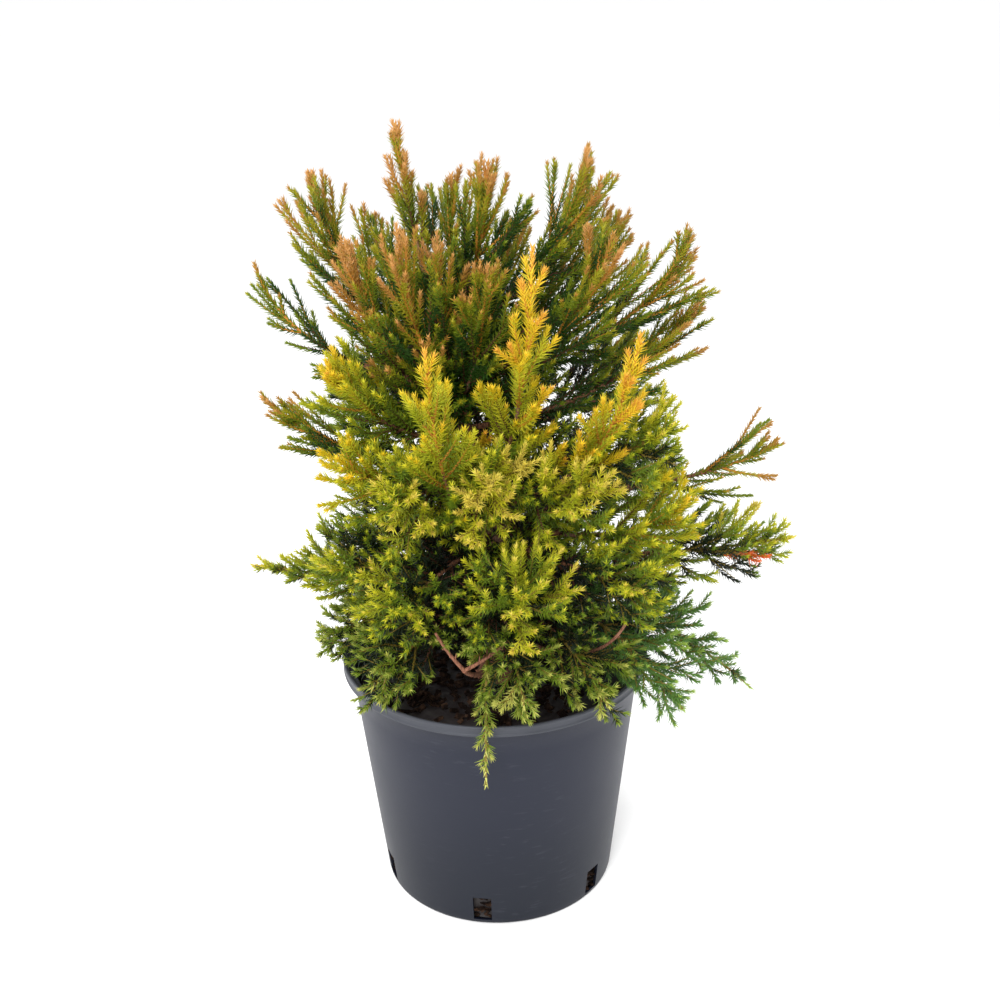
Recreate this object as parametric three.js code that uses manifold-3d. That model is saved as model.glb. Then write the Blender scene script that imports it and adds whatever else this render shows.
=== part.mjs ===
// A young Japanese cedar (Cryptomeria japonica) standing in its round nursery pot.
// Millimetres, +Z up. The origin is the centre of the pot's flat underside, and -Y is the front.
//
// One trunk leans and tapers out of the potting mix. Limbs leave it in tiers, each one a curve from the
// trunk to its furthest tip. The outer stretch of a limb is a mass of foliage: a stem with laterals,
// each a slim spray of needles of which some stand out. A few long limbs begin as a bare bough.
import * as THREE from "three";
import { mergeVertices } from "three/addons/utils/BufferGeometryUtils.js";
import Module from "manifold-3d";

const wasm = await Module();
wasm.setup();

// ---- Driving dimensions ------------------------------------------------------------------------

// Solids that would touch stay this far apart, and foliage fills this share of the room it has.
const GAP = 0.3;
const FILL = 0.9;

const POT = {
  height: 228,
  rimRadius: 140,
  rimBand: 10,
  rimRound: 1.6,
  rimInset: 0.8,
  rimDraft: 0.4,
  bodyTopRadius: 132.2,
  baseRadius: 108,
  wall: 2.6,
  floor: 3.2,
  edge: 2.5,
  segments: 48,
};

const DRAIN = { count: 6, width: 16.5, bottom: 4.5, top: 30.5, depth: 24, firstAzimuth: -98.5 };

const SOIL = { level: 200, rimLevel: 196, crown: 203, crownAt: 0.72, flatRadius: 32, segments: 24 };

const TRUNK = {
  top: 560,
  lean: -48,
  leanBack: 4,
  collarRadius: 10.5,
  topRadius: 3.0,
  flare: 8.5,
  flareHeight: 12,
  sides: 10,
  steps: 9,
};

const LIMB = { boughRadius: 4.3, joinRadius: 2.6, tipRadius: 0.9, sides: 5, steps: 3 };
const STEM = { sides: 3, steps: 6 };

// How a mass narrows to its tip: the power of what is left of its stem that its laterals' length
// follows. A dome stays wide to its end, and a whip soon has only short ones.
const DOME = 0.3;
const CREST = 0.45;
const PLUME = 0.7;
const FAN = 1.2;
const WHIP = 1.7;

// The limbs of a tier leave the trunk one above the other, by equal steps from its first spring
// height to its last. out and lift place the middle of their curve, as shares of the reach and of
// the climb, and arch raises it. leafy is the share of the limb that is bare of laterals, bough the
// share that is a separate bough where a limb has one, core the radius of the dense middle of a mass
// as a share of its half width, and laterals their number.
// A limb is [name, azimuth in degrees, reach, tip height, half width, taper, has a bough].
const TIERS = [
  {
    springs: [238, 290],
    out: 0.55,
    lift: 0.1,
    arch: 40,
    leafy: 0.22,
    bough: 0.34,
    core: 0.66,
    laterals: 5,
    limbs: [
      ["low_back_left", 148, 172, 246, 56, DOME, false],
      ["low_right_back", 30, 196, 240, 56, DOME, false],
      ["low_left", -170, 160, 254, 50, DOME, false],
      ["low_back", 72, 178, 244, 56, DOME, false],
      ["low_front_left", -128, 166, 262, 50, DOME, false],
      ["low_right", -4, 236, 189, 50, PLUME, false],
      ["low_left_back", 112, 174, 242, 56, DOME, false],
      ["low_front_right", -57, 172, 248, 52, DOME, false],
      ["low_front", -82, 168, 262, 52, DOME, false],
      ["low_right_front", -32, 190, 218, 50, DOME, false],
      ["drooping_shoot", -93, 171, 192, 18, PLUME, false],
    ],
  },
  {
    springs: [296, 348],
    out: 0.6,
    lift: 0.08,
    arch: 4,
    leafy: 0.24,
    bough: 0.36,
    core: 0.66,
    laterals: 5,
    limbs: [
      ["belly_left", -178, 215, 320, 46, WHIP, true],
      ["belly_back", 98, 176, 346, 58, DOME, false],
      ["belly_front", -82, 182, 370, 56, DOME, false],
      ["belly_back_left", 140, 170, 340, 58, DOME, false],
      ["belly_right", -9, 263, 352, 50, PLUME, true],
      ["belly_front_left", -148, 168, 356, 54, DOME, false],
      ["belly_back_right", 58, 186, 346, 58, DOME, false],
      ["belly_front_middle", -119, 176, 338, 54, DOME, false],
      ["belly_front_right", -50, 202, 356, 54, DOME, false],
      ["belly_right_back", 28, 196, 372, 56, DOME, false],
    ],
  },
  {
    springs: [352, 392],
    out: 0.84,
    lift: 0.16,
    arch: 0,
    leafy: 0.3,
    bough: 0.38,
    core: 0.28,
    laterals: 6,
    limbs: [
      ["right_spray", -36, 194, 420, 46, CREST, false],
      ["gold_front_left", -106, 164, 558, 42, PLUME, false],
      ["right_plume", 2, 252, 424, 46, CREST, true],
      ["gold_right", -52, 184, 564, 32, PLUME, false],
      ["gold_middle", -75, 135, 627, 36, PLUME, false],
    ],
  },
  {
    springs: [398, 442],
    out: 0.7,
    lift: 0.14,
    arch: 0,
    leafy: 0.24,
    bough: 0.38,
    core: 0.6,
    laterals: 5,
    limbs: [
      ["flank_front_left", -140, 158, 456, 54, DOME, false],
      ["flank_front_middle", -60, 172, 446, 56, DOME, false],
      ["flank_left", -174, 192, 481, 46, WHIP, false],
      ["flank_front", -119, 160, 436, 54, DOME, false],
      ["flank_front_right", -38, 182, 482, 52, DOME, false],
      ["flank_front_centre", -90, 160, 452, 56, DOME, false],
      ["flank_back", 80, 168, 480, 56, DOME, false],
      ["flank_right_back", 36, 180, 482, 54, DOME, false],
      ["flank_back_left", 120, 160, 478, 56, DOME, false],
      ["shoulder_left", -150, 148, 528, 54, DOME, false],
      ["flank_left_back", 156, 156, 482, 52, DOME, false],
      ["flank_right", 6, 184, 549, 44, PLUME, false],
    ],
  },
  {
    springs: [446, 478],
    out: 0.75,
    lift: 0.3,
    arch: 0,
    leafy: 0.14,
    bough: 0.36,
    core: 0.28,
    laterals: 5,
    limbs: [
      ["brown_left", -149, 126, 621, 46, CREST, false],
      ["heart_left", -127, 110, 632, 40, CREST, false],
      ["heart_front", -118, 78, 616, 52, CREST, false],
      ["brown_right", -33, 118, 622, 48, CREST, false],
      ["heart_middle", -89, 92, 606, 46, CREST, false],
      ["heart_back", 76, 92, 604, 54, DOME, false],
      ["heart_right", 22, 96, 640, 50, CREST, false],
    ],
  },
  {
    springs: [482, 538],
    out: 0.88,
    lift: 0.2,
    arch: 0,
    leafy: 0.2,
    bough: 0.36,
    core: 0.28,
    laterals: 6,
    limbs: [
      ["fan_left", -178, 190, 592, 38, FAN, false],
      ["crest_far_right", -2, 167, 610, 46, CREST, false],
      ["crest_back_right", 38, 150, 608, 50, CREST, false],
      ["crest_left", 180, 138, 664, 44, CREST, false],
      ["crest_back_left", 138, 132, 612, 52, CREST, false],
      ["crest_back", 112, 76, 648, 46, CREST, false],
      ["crest_right", -10, 84, 679, 44, CREST, false],
      ["crest_middle", -84, 34, 674, 42, CREST, false],
    ],
  },
];

const LEADER = { azimuth: 176, reach: 70, height: 699, halfWidth: 19, leafy: 0.06, core: 0.25, laterals: 7 };

// Laterals leave a stem by the golden angle and lean towards its tip, by a spread that varies and that
// closes towards the tip. Each is a slim spray of needles, larger than life, that a few needles stand
// out of. One that doesn't fit its space is trimmed to the next of these shares of its length, and
// probes are the shares along it at which its fit is tried.
const GOLDEN_ANGLE = 137.508;
const LATERAL = {
  last: 0.88,
  spread: 41,
  vary: 6,
  closing: 8,
  luck: 0.15,
  rootRadius: 2.2,
  bellyRadius: 8,
  thinnest: 2,
  forward: 0.16,
  rise: 0.1,
  trims: [1, 0.85, 0.7, 0.55, 0.4],
  probes: [0.3, 0.75, 0.88, 1],
  sides: 3,
  steps: 2,
};
const NEEDLE = {
  perTwig: 2,
  first: 0.45,
  last: 0.55,
  length: 30,
  radius: 2.4,
  ofBelly: 0.3,
  spread: 40,
  sides: 3,
};
const CORE = { sides: 5, steps: 3, tip: 0.97, margin: 0.03 };

// The outline of a mass: how full it is where it starts, how fast it opens, and its least width.
const OUTLINE = { start: 0.55, opening: 1.8, scale: 1.12, least: 0.12 };

// How many points stand for a limb's leafy stretch and for its bare one when distances are measured.
const SAMPLES = { leafy: 14, bare: 24 };

const LEAF = { green: 0x6f8f2e, gold: 0xc9a53a, bronze: 0x9a7a34, bronzeFrom: 400, bronzeTo: 700 };

// ---- Curves ------------------------------------------------------------------------------------

const radians = THREE.MathUtils.degToRad;
const { lerp, clamp } = THREE.MathUtils;

// A point at an azimuth (degrees from +X), a radius and a height.
function polar(azimuth, radius, height) {
  const angle = radians(azimuth);
  return new THREE.Vector3(radius * Math.cos(angle), radius * Math.sin(angle), height);
}

// The trunk's axis leans over with the square of its height.
function trunkAxis(height) {
  const share = (height - SOIL.level) / (TRUNK.top - SOIL.level);
  return new THREE.Vector3(TRUNK.lean * share * share, TRUNK.leanBack * share * share, height);
}

function trunkRadius(height) {
  const share = clamp((height - SOIL.level) / (TRUNK.top - SOIL.level), 0, 1);
  const flare = TRUNK.flare * Math.exp(-Math.max(0, height - SOIL.level) / TRUNK.flareHeight);
  return lerp(TRUNK.collarRadius, TRUNK.topRadius, share) + flare;
}

class TrunkCurve extends THREE.Curve {
  getPoint(share, target = new THREE.Vector3()) {
    return target.copy(trunkAxis(lerp(SOIL.level + GAP, TRUNK.top, share)));
  }
}

// The stretch of a curve between two shares of it, as a curve of its own.
class Stretch extends THREE.Curve {
  constructor(curve, from, to) {
    super();
    this.curve = curve;
    this.from = from;
    this.to = to;
  }
  getPoint(share, target = new THREE.Vector3()) {
    return this.curve.getPoint(lerp(this.from, this.to, share), target);
  }
}

// ---- Limbs -------------------------------------------------------------------------------------

// Repeatable numbers from 0 to 1, by the Park and Miller rule.
class Dice {
  constructor(seed) {
    this.state = seed * 99991;
    this.between(0, 1);
    this.between(0, 1);
  }
  between(low, high) {
    this.state = (this.state * 16807) % 2147483647;
    return low + (high - low) * (this.state / 2147483647);
  }
}

// The first share of a curve at which a limb of this radius is clear of the trunk.
function leavesTrunkAt(curve, radius) {
  for (let share = 0; share < 1; share += 0.002) {
    const point = curve.getPoint(share);
    const inward = radius * Math.abs(curve.getTangent(share).z);
    const away = point.distanceTo(trunkAxis(point.z));
    if (away - inward > trunkRadius(point.z - radius) + 2 * GAP) return share;
  }
  throw new Error("a limb never leaves the trunk");
}

// The share of a curve that lies a short distance past another.
function sharePast(curve, share, distance) {
  const step = 0.01;
  const pace = curve.getPoint(share).distanceTo(curve.getPoint(share + step)) / step;
  return share + distance / pace;
}

function makeLimb(tier, order, [name, azimuth, reach, height, halfWidth, taper, hasBough]) {
  const [lowest, highest] = tier.springs;
  const spring = lerp(lowest, highest, order / (tier.limbs.length - 1));
  const root = trunkAxis(spring);
  const tip = polar(azimuth, reach, height);
  const middle = root.clone().lerp(tip, tier.out).setZ(lerp(spring, height, tier.lift) + tier.arch);
  const curve = new THREE.QuadraticBezierCurve3(root, middle, tip);
  const start = leavesTrunkAt(curve, hasBough ? LIMB.boughRadius : LIMB.joinRadius);
  const stemStart = hasBough ? sharePast(curve, tier.bough, GAP) : start;
  return {
    name,
    azimuth,
    halfWidth,
    taper,
    curve,
    start,
    boughEnd: hasBough ? tier.bough : null,
    stemStart,
    leafy: Math.max(tier.leafy, stemStart + CORE.margin),
    core: tier.core * halfWidth,
    laterals: tier.laterals,
  };
}

function makeLimbs() {
  const limbs = TIERS.flatMap((tier) => tier.limbs.map((limb, order) => makeLimb(tier, order, limb)));
  return [...limbs, makeLeader()];
}

// The leader carries on from the trunk's own tip.
function makeLeader() {
  const root = trunkAxis(TRUNK.top + GAP);
  const tip = polar(LEADER.azimuth, LEADER.reach, LEADER.height);
  const middle = root.clone().lerp(tip, 0.5).setX(lerp(root.x, tip.x, 0.7));
  return {
    name: "leader",
    azimuth: LEADER.azimuth,
    halfWidth: LEADER.halfWidth,
    taper: PLUME,
    curve: new THREE.QuadraticBezierCurve3(root, middle, tip),
    start: 0,
    boughEnd: null,
    stemStart: 0,
    leafy: LEADER.leafy,
    core: LEADER.core * LEADER.halfWidth,
    laterals: LEADER.laterals,
  };
}

// ---- Space -------------------------------------------------------------------------------------

// Points along a limb's leafy stretch, and along its bare one.
function samples(limb, from, to, count) {
  return Array.from({ length: count }, (_, n) => limb.curve.getPoint(lerp(from, to, n / (count - 1))));
}

function nearest(points, point) {
  return Math.min(...points.map((other) => other.distanceTo(point)));
}

// Each mass keeps to the points that lie nearer to its own stem than to any other.
class Space {
  constructor(limbs) {
    this.leafy = limbs.map((limb) => samples(limb, limb.leafy, 1, SAMPLES.leafy));
    this.bare = limbs.map((limb) => samples(limb, limb.start, limb.leafy, SAMPLES.bare));
  }

  // The radius of the largest ball round a point that its owner's space holds.
  room(owner, point) {
    const own = nearest(this.leafy[owner], point);
    let room = Math.min(this.roomBesideTrunk(point), this.roomBesidePot(point));
    for (let n = 0; n < this.leafy.length; n += 1) {
      if (n === owner) continue;
      room = Math.min(room, (nearest(this.leafy[n], point) - own - GAP) / 2);
      room = Math.min(room, nearest(this.bare[n], point) - LIMB.boughRadius - 2 * GAP);
    }
    return room;
  }

  roomBesideTrunk(point) {
    const height = clamp(point.z, SOIL.level, TRUNK.top);
    return trunkAxis(height).distanceTo(point) - trunkRadius(height) - 2 * GAP;
  }

  roomBesidePot(point) {
    const outside = Math.hypot(point.x, point.y) - POT.rimRadius - 1;
    return Math.max(outside, point.z - POT.height - 1);
  }
}

// ---- Solids ------------------------------------------------------------------------------------

// A closed manifold solid from a three.js geometry: seams merged, collapsed faces dropped.
function solidOf(geometry) {
  const bare = new THREE.BufferGeometry();
  bare.setAttribute("position", geometry.getAttribute("position"));
  bare.setIndex(geometry.getIndex());
  const merged = mergeVertices(bare, 1e-4);
  const corners = merged.getIndex().array;
  const kept = [];
  for (let n = 0; n < corners.length; n += 3) {
    const [a, b, c] = corners.subarray(n, n + 3);
    if (a !== b && b !== c && c !== a) kept.push(a, b, c);
  }
  return new wasm.Manifold(
    new wasm.Mesh({
      numProp: 3,
      vertProperties: new Float32Array(merged.getAttribute("position").array),
      triVerts: new Uint32Array(kept),
    }),
  );
}

function geometryOf(solid) {
  const mesh = solid.getMesh();
  const geometry = new THREE.BufferGeometry();
  geometry.setAttribute("position", new THREE.BufferAttribute(mesh.vertProperties, 3));
  geometry.setIndex(new THREE.BufferAttribute(mesh.triVerts, 1));
  return geometry;
}

// The largest body of a solid: a sealed hollow and a loose scrap are both bodies of their own.
function largestBody(solid) {
  return solid.decompose().reduce((best, body) => (body.volume() > best.volume() ? body : best));
}

// A round section carried along a curve: a unit cylinder whose rings are moved onto the curve and
// scaled to radius(share). A radius of zero closes an end to a point.
function sweep(curve, sides, steps, radius) {
  const geometry = new THREE.CylinderGeometry(1, 1, 1, sides, steps);
  const frames = curve.computeFrenetFrames(steps);
  const places = geometry.getAttribute("position");
  const point = new THREE.Vector3();
  for (let n = 0; n < places.count; n += 1) {
    const share = places.getY(n) + 0.5;
    const ring = Math.round(share * steps);
    const size = radius(share);
    point.copy(curve.getPointAt(share));
    point.addScaledVector(frames.binormals[ring], places.getX(n) * size);
    point.addScaledVector(frames.normals[ring], places.getZ(n) * size);
    places.setXYZ(n, point.x, point.y, point.z);
  }
  return geometry;
}

// ---- Pot and potting mix -----------------------------------------------------------------------

// The inner radius of the pot's wall below its rim.
function innerRadius(height) {
  const share = height / (POT.height - POT.rimBand);
  return lerp(POT.baseRadius, POT.bodyTopRadius, share) - POT.wall;
}

function turned(profile, segments) {
  const points = profile.map(([radius, height]) => new THREE.Vector2(radius, height));
  return new THREE.LatheGeometry(points, segments).rotateX(Math.PI / 2);
}

function makePot() {
  const shoulder = POT.height - POT.rimBand;
  const rimInside = POT.rimRadius - POT.wall - POT.rimInset;
  const profile = [
    [0, 0],
    [POT.baseRadius - POT.edge, 0],
    [POT.baseRadius, POT.edge],
    [POT.bodyTopRadius, shoulder - POT.rimInset],
    [POT.rimRadius - POT.rimRound, shoulder],
    [POT.rimRadius, shoulder + POT.rimRound],
    [POT.rimRadius - POT.rimDraft, POT.height - POT.rimRound],
    [POT.rimRadius - POT.rimRound, POT.height],
    [rimInside, POT.height - POT.rimInset],
    [rimInside - POT.rimDraft, shoulder + POT.wall + POT.rimInset],
    [innerRadius(shoulder), shoulder + POT.rimInset],
    [innerRadius(POT.floor), POT.floor],
    [0, POT.floor],
  ];
  let pot = solidOf(turned(profile, POT.segments));
  for (let n = 0; n < DRAIN.count; n += 1) {
    const azimuth = DRAIN.firstAzimuth + (360 / DRAIN.count) * n;
    const hole = new THREE.BoxGeometry(DRAIN.depth, DRAIN.width, DRAIN.top - DRAIN.bottom);
    hole.translate(POT.baseRadius, 0, (DRAIN.top + DRAIN.bottom) / 2);
    pot = pot.subtract(solidOf(hole.rotateZ(radians(azimuth))));
  }
  return geometryOf(pot);
}

function makePottingMix() {
  const bottom = POT.floor + GAP;
  const profile = [
    [0, bottom],
    [innerRadius(bottom) - 2 * GAP, bottom],
    [innerRadius(SOIL.rimLevel) - 2 * GAP, SOIL.rimLevel],
    [innerRadius(SOIL.level) * SOIL.crownAt, SOIL.crown],
    [SOIL.flatRadius, SOIL.level],
    [0, SOIL.level],
  ];
  return geometryOf(solidOf(turned(profile, SOIL.segments)));
}

// ---- Wood --------------------------------------------------------------------------------------

function makeTrunk() {
  const curve = new TrunkCurve();
  return sweep(curve, TRUNK.sides, TRUNK.steps, (share) => trunkRadius(curve.getPointAt(share).z));
}

function makeBough(limb) {
  const curve = new Stretch(limb.curve, limb.start, limb.boughEnd);
  return sweep(curve, LIMB.sides, LIMB.steps, (share) => lerp(LIMB.boughRadius, LIMB.joinRadius, share));
}

// ---- Foliage -----------------------------------------------------------------------------------

// The direction that leaves a curve at a share of it, by an angle around it and a spread from it.
function sideways(curve, share, across, around, spread) {
  const along = curve.getTangent(share);
  const side = across.clone().addScaledVector(along, -across.dot(along)).normalize();
  const over = along.clone().cross(side);
  return along
    .multiplyScalar(Math.cos(radians(spread)))
    .addScaledVector(side, Math.sin(radians(spread)) * Math.cos(radians(around)))
    .addScaledVector(over, Math.sin(radians(spread)) * Math.sin(radians(around)));
}

// How long a lateral is, as a share of the longest: a mass fills out early and narrows to its tip.
function plume(share, taper) {
  const opened = Math.min(1, OUTLINE.start + OUTLINE.opening * share);
  return opened * (1 - share) ** taper * OUTLINE.scale + OUTLINE.least;
}

// The laterals of a limb's stem that stay within its space.
function lateralsOf(limb, owner, space) {
  const dice = new Dice(owner + 1);
  const across = polar(limb.azimuth + 90, 1, 0);
  const turn = dice.between(0, 360);
  const laterals = [];
  for (let n = 0; n < limb.laterals; n += 1) {
    const share = (n + dice.between(0.2, 0.8)) / limb.laterals;
    const onStem = lerp(limb.leafy, LATERAL.last, share);
    const spread = LATERAL.spread + dice.between(-LATERAL.vary, LATERAL.vary) - LATERAL.closing * share;
    const out = sideways(limb.curve, onStem, across, turn + GOLDEN_ANGLE * n, spread);
    const longest = limb.halfWidth / Math.sin(radians(LATERAL.spread));
    const luck = dice.between(1 - LATERAL.luck, 1 + LATERAL.luck);
    for (const trim of LATERAL.trims) {
      const curve = lateralCurve(limb.curve, onStem, out, longest * plume(share, limb.taper) * luck * trim);
      const belly = Math.min(LATERAL.bellyRadius, FILL * space.room(owner, curve.getPoint(0.5)));
      const fits = LATERAL.probes.every((at) => space.room(owner, curve.getPoint(at)) > belly * (1 - at));
      if (belly < LATERAL.thinnest || !fits || beyondTip(limb.curve, curve.getPoint(1))) continue;
      laterals.push({ curve, belly, turn: dice.between(0, 360) });
      break;
    }
  }
  return laterals;
}

// Whether a point lies further from a curve's start than the curve's own end does.
function beyondTip(curve, point) {
  const root = curve.getPoint(0);
  return point.distanceTo(root) > curve.getPoint(1).distanceTo(root);
}

// A lateral starts on the stem's axis and bends towards the stem's tip and upwards.
function lateralCurve(stem, onStem, out, length) {
  const root = stem.getPoint(onStem);
  const middle = root.clone().addScaledVector(out, length * 0.5);
  const tip = root.clone().addScaledVector(out, length * (1 - LATERAL.forward));
  tip.addScaledVector(stem.getTangent(onStem), length * LATERAL.forward);
  tip.z += length * LATERAL.rise;
  return new THREE.QuadraticBezierCurve3(root, middle, tip);
}

// The needles that stand out of one lateral: three-sided spikes that lean towards its tip.
function needlesOf({ curve, belly, turn }, across, owner, space) {
  const radius = Math.min(NEEDLE.radius, NEEDLE.ofBelly * belly);
  const needles = [];
  for (let n = 0; n < NEEDLE.perTwig; n += 1) {
    const onTwig = lerp(NEEDLE.first, NEEDLE.last, n / (NEEDLE.perTwig - 1));
    const out = sideways(curve, onTwig, across, turn + 180 * n, NEEDLE.spread);
    const root = curve.getPoint(onTwig);
    const tip = root.clone().addScaledVector(out, NEEDLE.length);
    const halfway = root.clone().lerp(tip, 0.5);
    if (space.room(owner, tip) < GAP || space.room(owner, halfway) < radius) continue;
    const spike = new THREE.LineCurve3(root, tip);
    needles.push(solidOf(sweep(spike, NEEDLE.sides, 1, (share) => radius * (1 - share))));
  }
  return needles;
}

// Radii that grow from the root to a belly halfway along and end in a point.
function spindle(root, belly) {
  return (share) => (share < 0.5 ? lerp(root, belly, share * 2) : belly * (2 - 2 * share));
}

// The dense middle of a mass: as wide round its stem as its space and the tier's core allow.
function makeCore(limb, owner, space) {
  const curve = new Stretch(limb.curve, limb.leafy, CORE.tip);
  const full = spindle(LIMB.joinRadius + 2 * GAP, limb.core);
  return sweep(curve, CORE.sides, CORE.steps, (share) =>
    Math.min(full(share), FILL * space.room(owner, curve.getPointAt(share))),
  );
}

function makeFoliage(limb, owner, space) {
  const across = polar(limb.azimuth + 90, 1, 0);
  const stem = new Stretch(limb.curve, limb.stemStart, 1);
  const taper = (share) => lerp(LIMB.joinRadius, LIMB.tipRadius, share) * (share < 1 ? 1 : 0);
  let mass = solidOf(sweep(stem, STEM.sides, STEM.steps, taper)).add(solidOf(makeCore(limb, owner, space)));
  for (const lateral of lateralsOf(limb, owner, space)) {
    const radius = spindle(Math.min(LATERAL.rootRadius, lateral.belly / 2), lateral.belly);
    mass = mass.add(solidOf(sweep(lateral.curve, LATERAL.sides, LATERAL.steps, radius)));
    for (const needle of needlesOf(lateral, across, owner, space)) {
      mass = mass.add(needle);
    }
  }
  return geometryOf(largestBody(mass));
}

// ---- The plant ---------------------------------------------------------------------------------

const FINISHES = {
  pot: { color: 0x34373d, roughness: 0.5, metalness: 0 },
  potting_mix: { color: 0x1d1612, roughness: 0.95, metalness: 0 },
  bark: { color: 0x74503a, roughness: 0.9, metalness: 0 },
};

function part(name, geometry, finish) {
  const mesh = new THREE.Mesh(geometry, new THREE.MeshStandardMaterial(finish));
  mesh.name = name;
  return mesh;
}

// Foliage is green low down and turns bronze towards the top of the crown, but some sprays are golden.
function leafColour(limb) {
  if (/^(gold|right)/.test(limb.name)) return new THREE.Color(LEAF.gold);
  const height = limb.curve.getPoint(1).z;
  const share = clamp((height - LEAF.bronzeFrom) / (LEAF.bronzeTo - LEAF.bronzeFrom), 0, 1);
  return new THREE.Color(LEAF.green).lerp(new THREE.Color(LEAF.bronze), share);
}

const plant = new THREE.Group();
plant.name = "potted_cryptomeria";
plant.add(part("pot", makePot(), FINISHES.pot));
plant.add(part("potting_mix", makePottingMix(), FINISHES.potting_mix));
plant.add(part("trunk", makeTrunk(), FINISHES.bark));

const limbs = makeLimbs();
const space = new Space(limbs);
limbs.forEach((limb, owner) => {
  if (limb.boughEnd) plant.add(part(`bough_${limb.name}`, makeBough(limb), FINISHES.bark));
  const finish = { color: leafColour(limb), roughness: 0.75, metalness: 0 };
  plant.add(part(`foliage_${limb.name}`, makeFoliage(limb, owner, space), finish));
});

export default plant;
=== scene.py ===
"""A young Japanese cedar in its black nursery pot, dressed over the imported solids.

Sizes are in millimetres and become metres when a mesh is made. +Z is up and -Y is the front. The limbs
follow the same rule as the solids: a trunk that leans over, limbs that leave it in tiers, and laterals
on each limb that stay in the limb's own space. Here the rule goes on to finer laterals, shoots and
needles.
"""

import logging
import math
from dataclasses import dataclass, field
from enum import Enum, IntEnum

import bpy
import numpy as np
from mathutils import Matrix, Vector


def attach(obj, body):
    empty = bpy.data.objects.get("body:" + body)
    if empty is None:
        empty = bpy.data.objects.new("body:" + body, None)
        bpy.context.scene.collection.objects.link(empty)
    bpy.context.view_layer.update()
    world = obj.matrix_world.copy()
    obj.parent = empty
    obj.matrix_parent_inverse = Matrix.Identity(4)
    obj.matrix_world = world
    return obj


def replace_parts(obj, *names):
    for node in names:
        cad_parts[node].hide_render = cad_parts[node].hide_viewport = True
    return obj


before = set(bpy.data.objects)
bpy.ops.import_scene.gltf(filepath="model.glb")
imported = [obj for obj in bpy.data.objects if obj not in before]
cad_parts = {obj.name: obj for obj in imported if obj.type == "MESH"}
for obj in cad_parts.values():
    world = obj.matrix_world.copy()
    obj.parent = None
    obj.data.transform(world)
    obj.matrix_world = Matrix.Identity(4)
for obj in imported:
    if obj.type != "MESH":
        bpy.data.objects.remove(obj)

log = logging.getLogger("cedar")

Array = np.ndarray
Shape = tuple[Array, list[Array]]
Span = tuple[float, float]
Triple = tuple[float, float, float]
Colour = Triple
Socket = bpy.types.NodeSocket

MM = 0.001
GAP = 0.3
GOLDEN_ANGLE = 137.508
BODY = "root"

# A lattice corner's random number is mixed from its place and the seed with large factors.
LATTICE_SHIFT = 1000.0
LATTICE_FACTORS = (73856093, 19349663, 83492791)
SEED_FACTOR = 2654435761
MIX_FACTOR = 1274126177


# ---- Numbers ----


class Seed(IntEnum):
    """The seed of each lot of random numbers."""

    CHIPS = 11
    FINER_LATERALS = 21
    LATERAL_SHOOTS = 22
    STEM_SHOOTS = 23
    NEEDLES = 24
    TINTS = 25
    INNER_LATERALS = 26
    TRUNK_LATERALS = 27


def lerp(low: float | Array, high: float | Array, share: float | Array) -> float | Array:
    """Low plus the share of the way from low to high."""
    return low + (high - low) * share


def polar(azimuth: float, radius: float, height: float) -> Array:
    """The point at an azimuth in degrees from +X, a radius and a height."""
    angle = math.radians(azimuth)
    return np.array([radius * math.cos(angle), radius * math.sin(angle), height])


def unit(vectors: Array) -> Array:
    """Each vector divided by its own length."""
    return vectors / np.maximum(np.linalg.norm(vectors, axis=-1, keepdims=True), 1e-12)


def dots(first: Array, second: Array) -> Array:
    """The dot product of each pair of rows, kept as a column."""
    return np.sum(first * second, axis=-1, keepdims=True)


def lattice_noise(points: Array, cell: float, seed: int) -> Array:
    """Smooth noise from 0 to 1: a random number at each corner of a lattice, blended in between.

    The blend inside a cell is 3 f^2 - 2 f^3 of the way along each axis.

    Args:
        points: Places, one in each row.
        cell: Edge of a lattice cell, in the units of the places.
        seed: Which of the many lattices.

    Returns:
        One number for each place.
    """
    place = points / cell + LATTICE_SHIFT
    corner = np.floor(place).astype(np.int64)
    blend = place - corner
    blend = blend * blend * (3.0 - 2.0 * blend)
    total = np.zeros(len(points))
    for step in np.ndindex(2, 2, 2):
        mixed = np.bitwise_xor.reduce((corner + step) * LATTICE_FACTORS, axis=1) ^ (seed * SEED_FACTOR)
        mixed = (mixed ^ (mixed >> 13)) * MIX_FACTOR & 0x7FFFFFFF
        weight = np.where(step, blend, 1 - blend).prod(axis=1)
        total += weight * ((mixed ^ (mixed >> 16)) & 0xFFFF) / 65535.0
    return total


class Dice:
    """The source's repeatable numbers, by the Park and Miller rule."""

    SEED_STEP = 99991
    FACTOR = 16807
    MODULUS = 2147483647

    def __init__(self, seed: int) -> None:
        """Starts from a seed and throws the first two numbers away.

        Args:
            seed: A whole number from 1.
        """
        self.state = seed * self.SEED_STEP
        self.between(0, 1)
        self.between(0, 1)

    def between(self, low: float, high: float) -> float:
        """The next number from low to high."""
        self.state = self.state * self.FACTOR % self.MODULUS
        return low + (high - low) * self.state / self.MODULUS


# ---- Meshes ----


def grid_faces(rows: int, columns: int, closed: bool) -> Array:
    """The quads of a grid of points, row after row.

    Args:
        rows: Points along the first parameter.
        columns: Points along the second parameter.
        closed: Whether the last column joins the first.

    Returns:
        Four corners for each quad.
    """
    wide = columns if closed else columns - 1
    row, column = np.meshgrid(np.arange(rows - 1), np.arange(wide), indexing="ij")
    row, column = row.ravel() * columns, column.ravel()
    beside = (column + 1) % columns
    return np.stack([row + column, row + beside, row + columns + beside, row + columns + column], axis=1)


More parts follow.
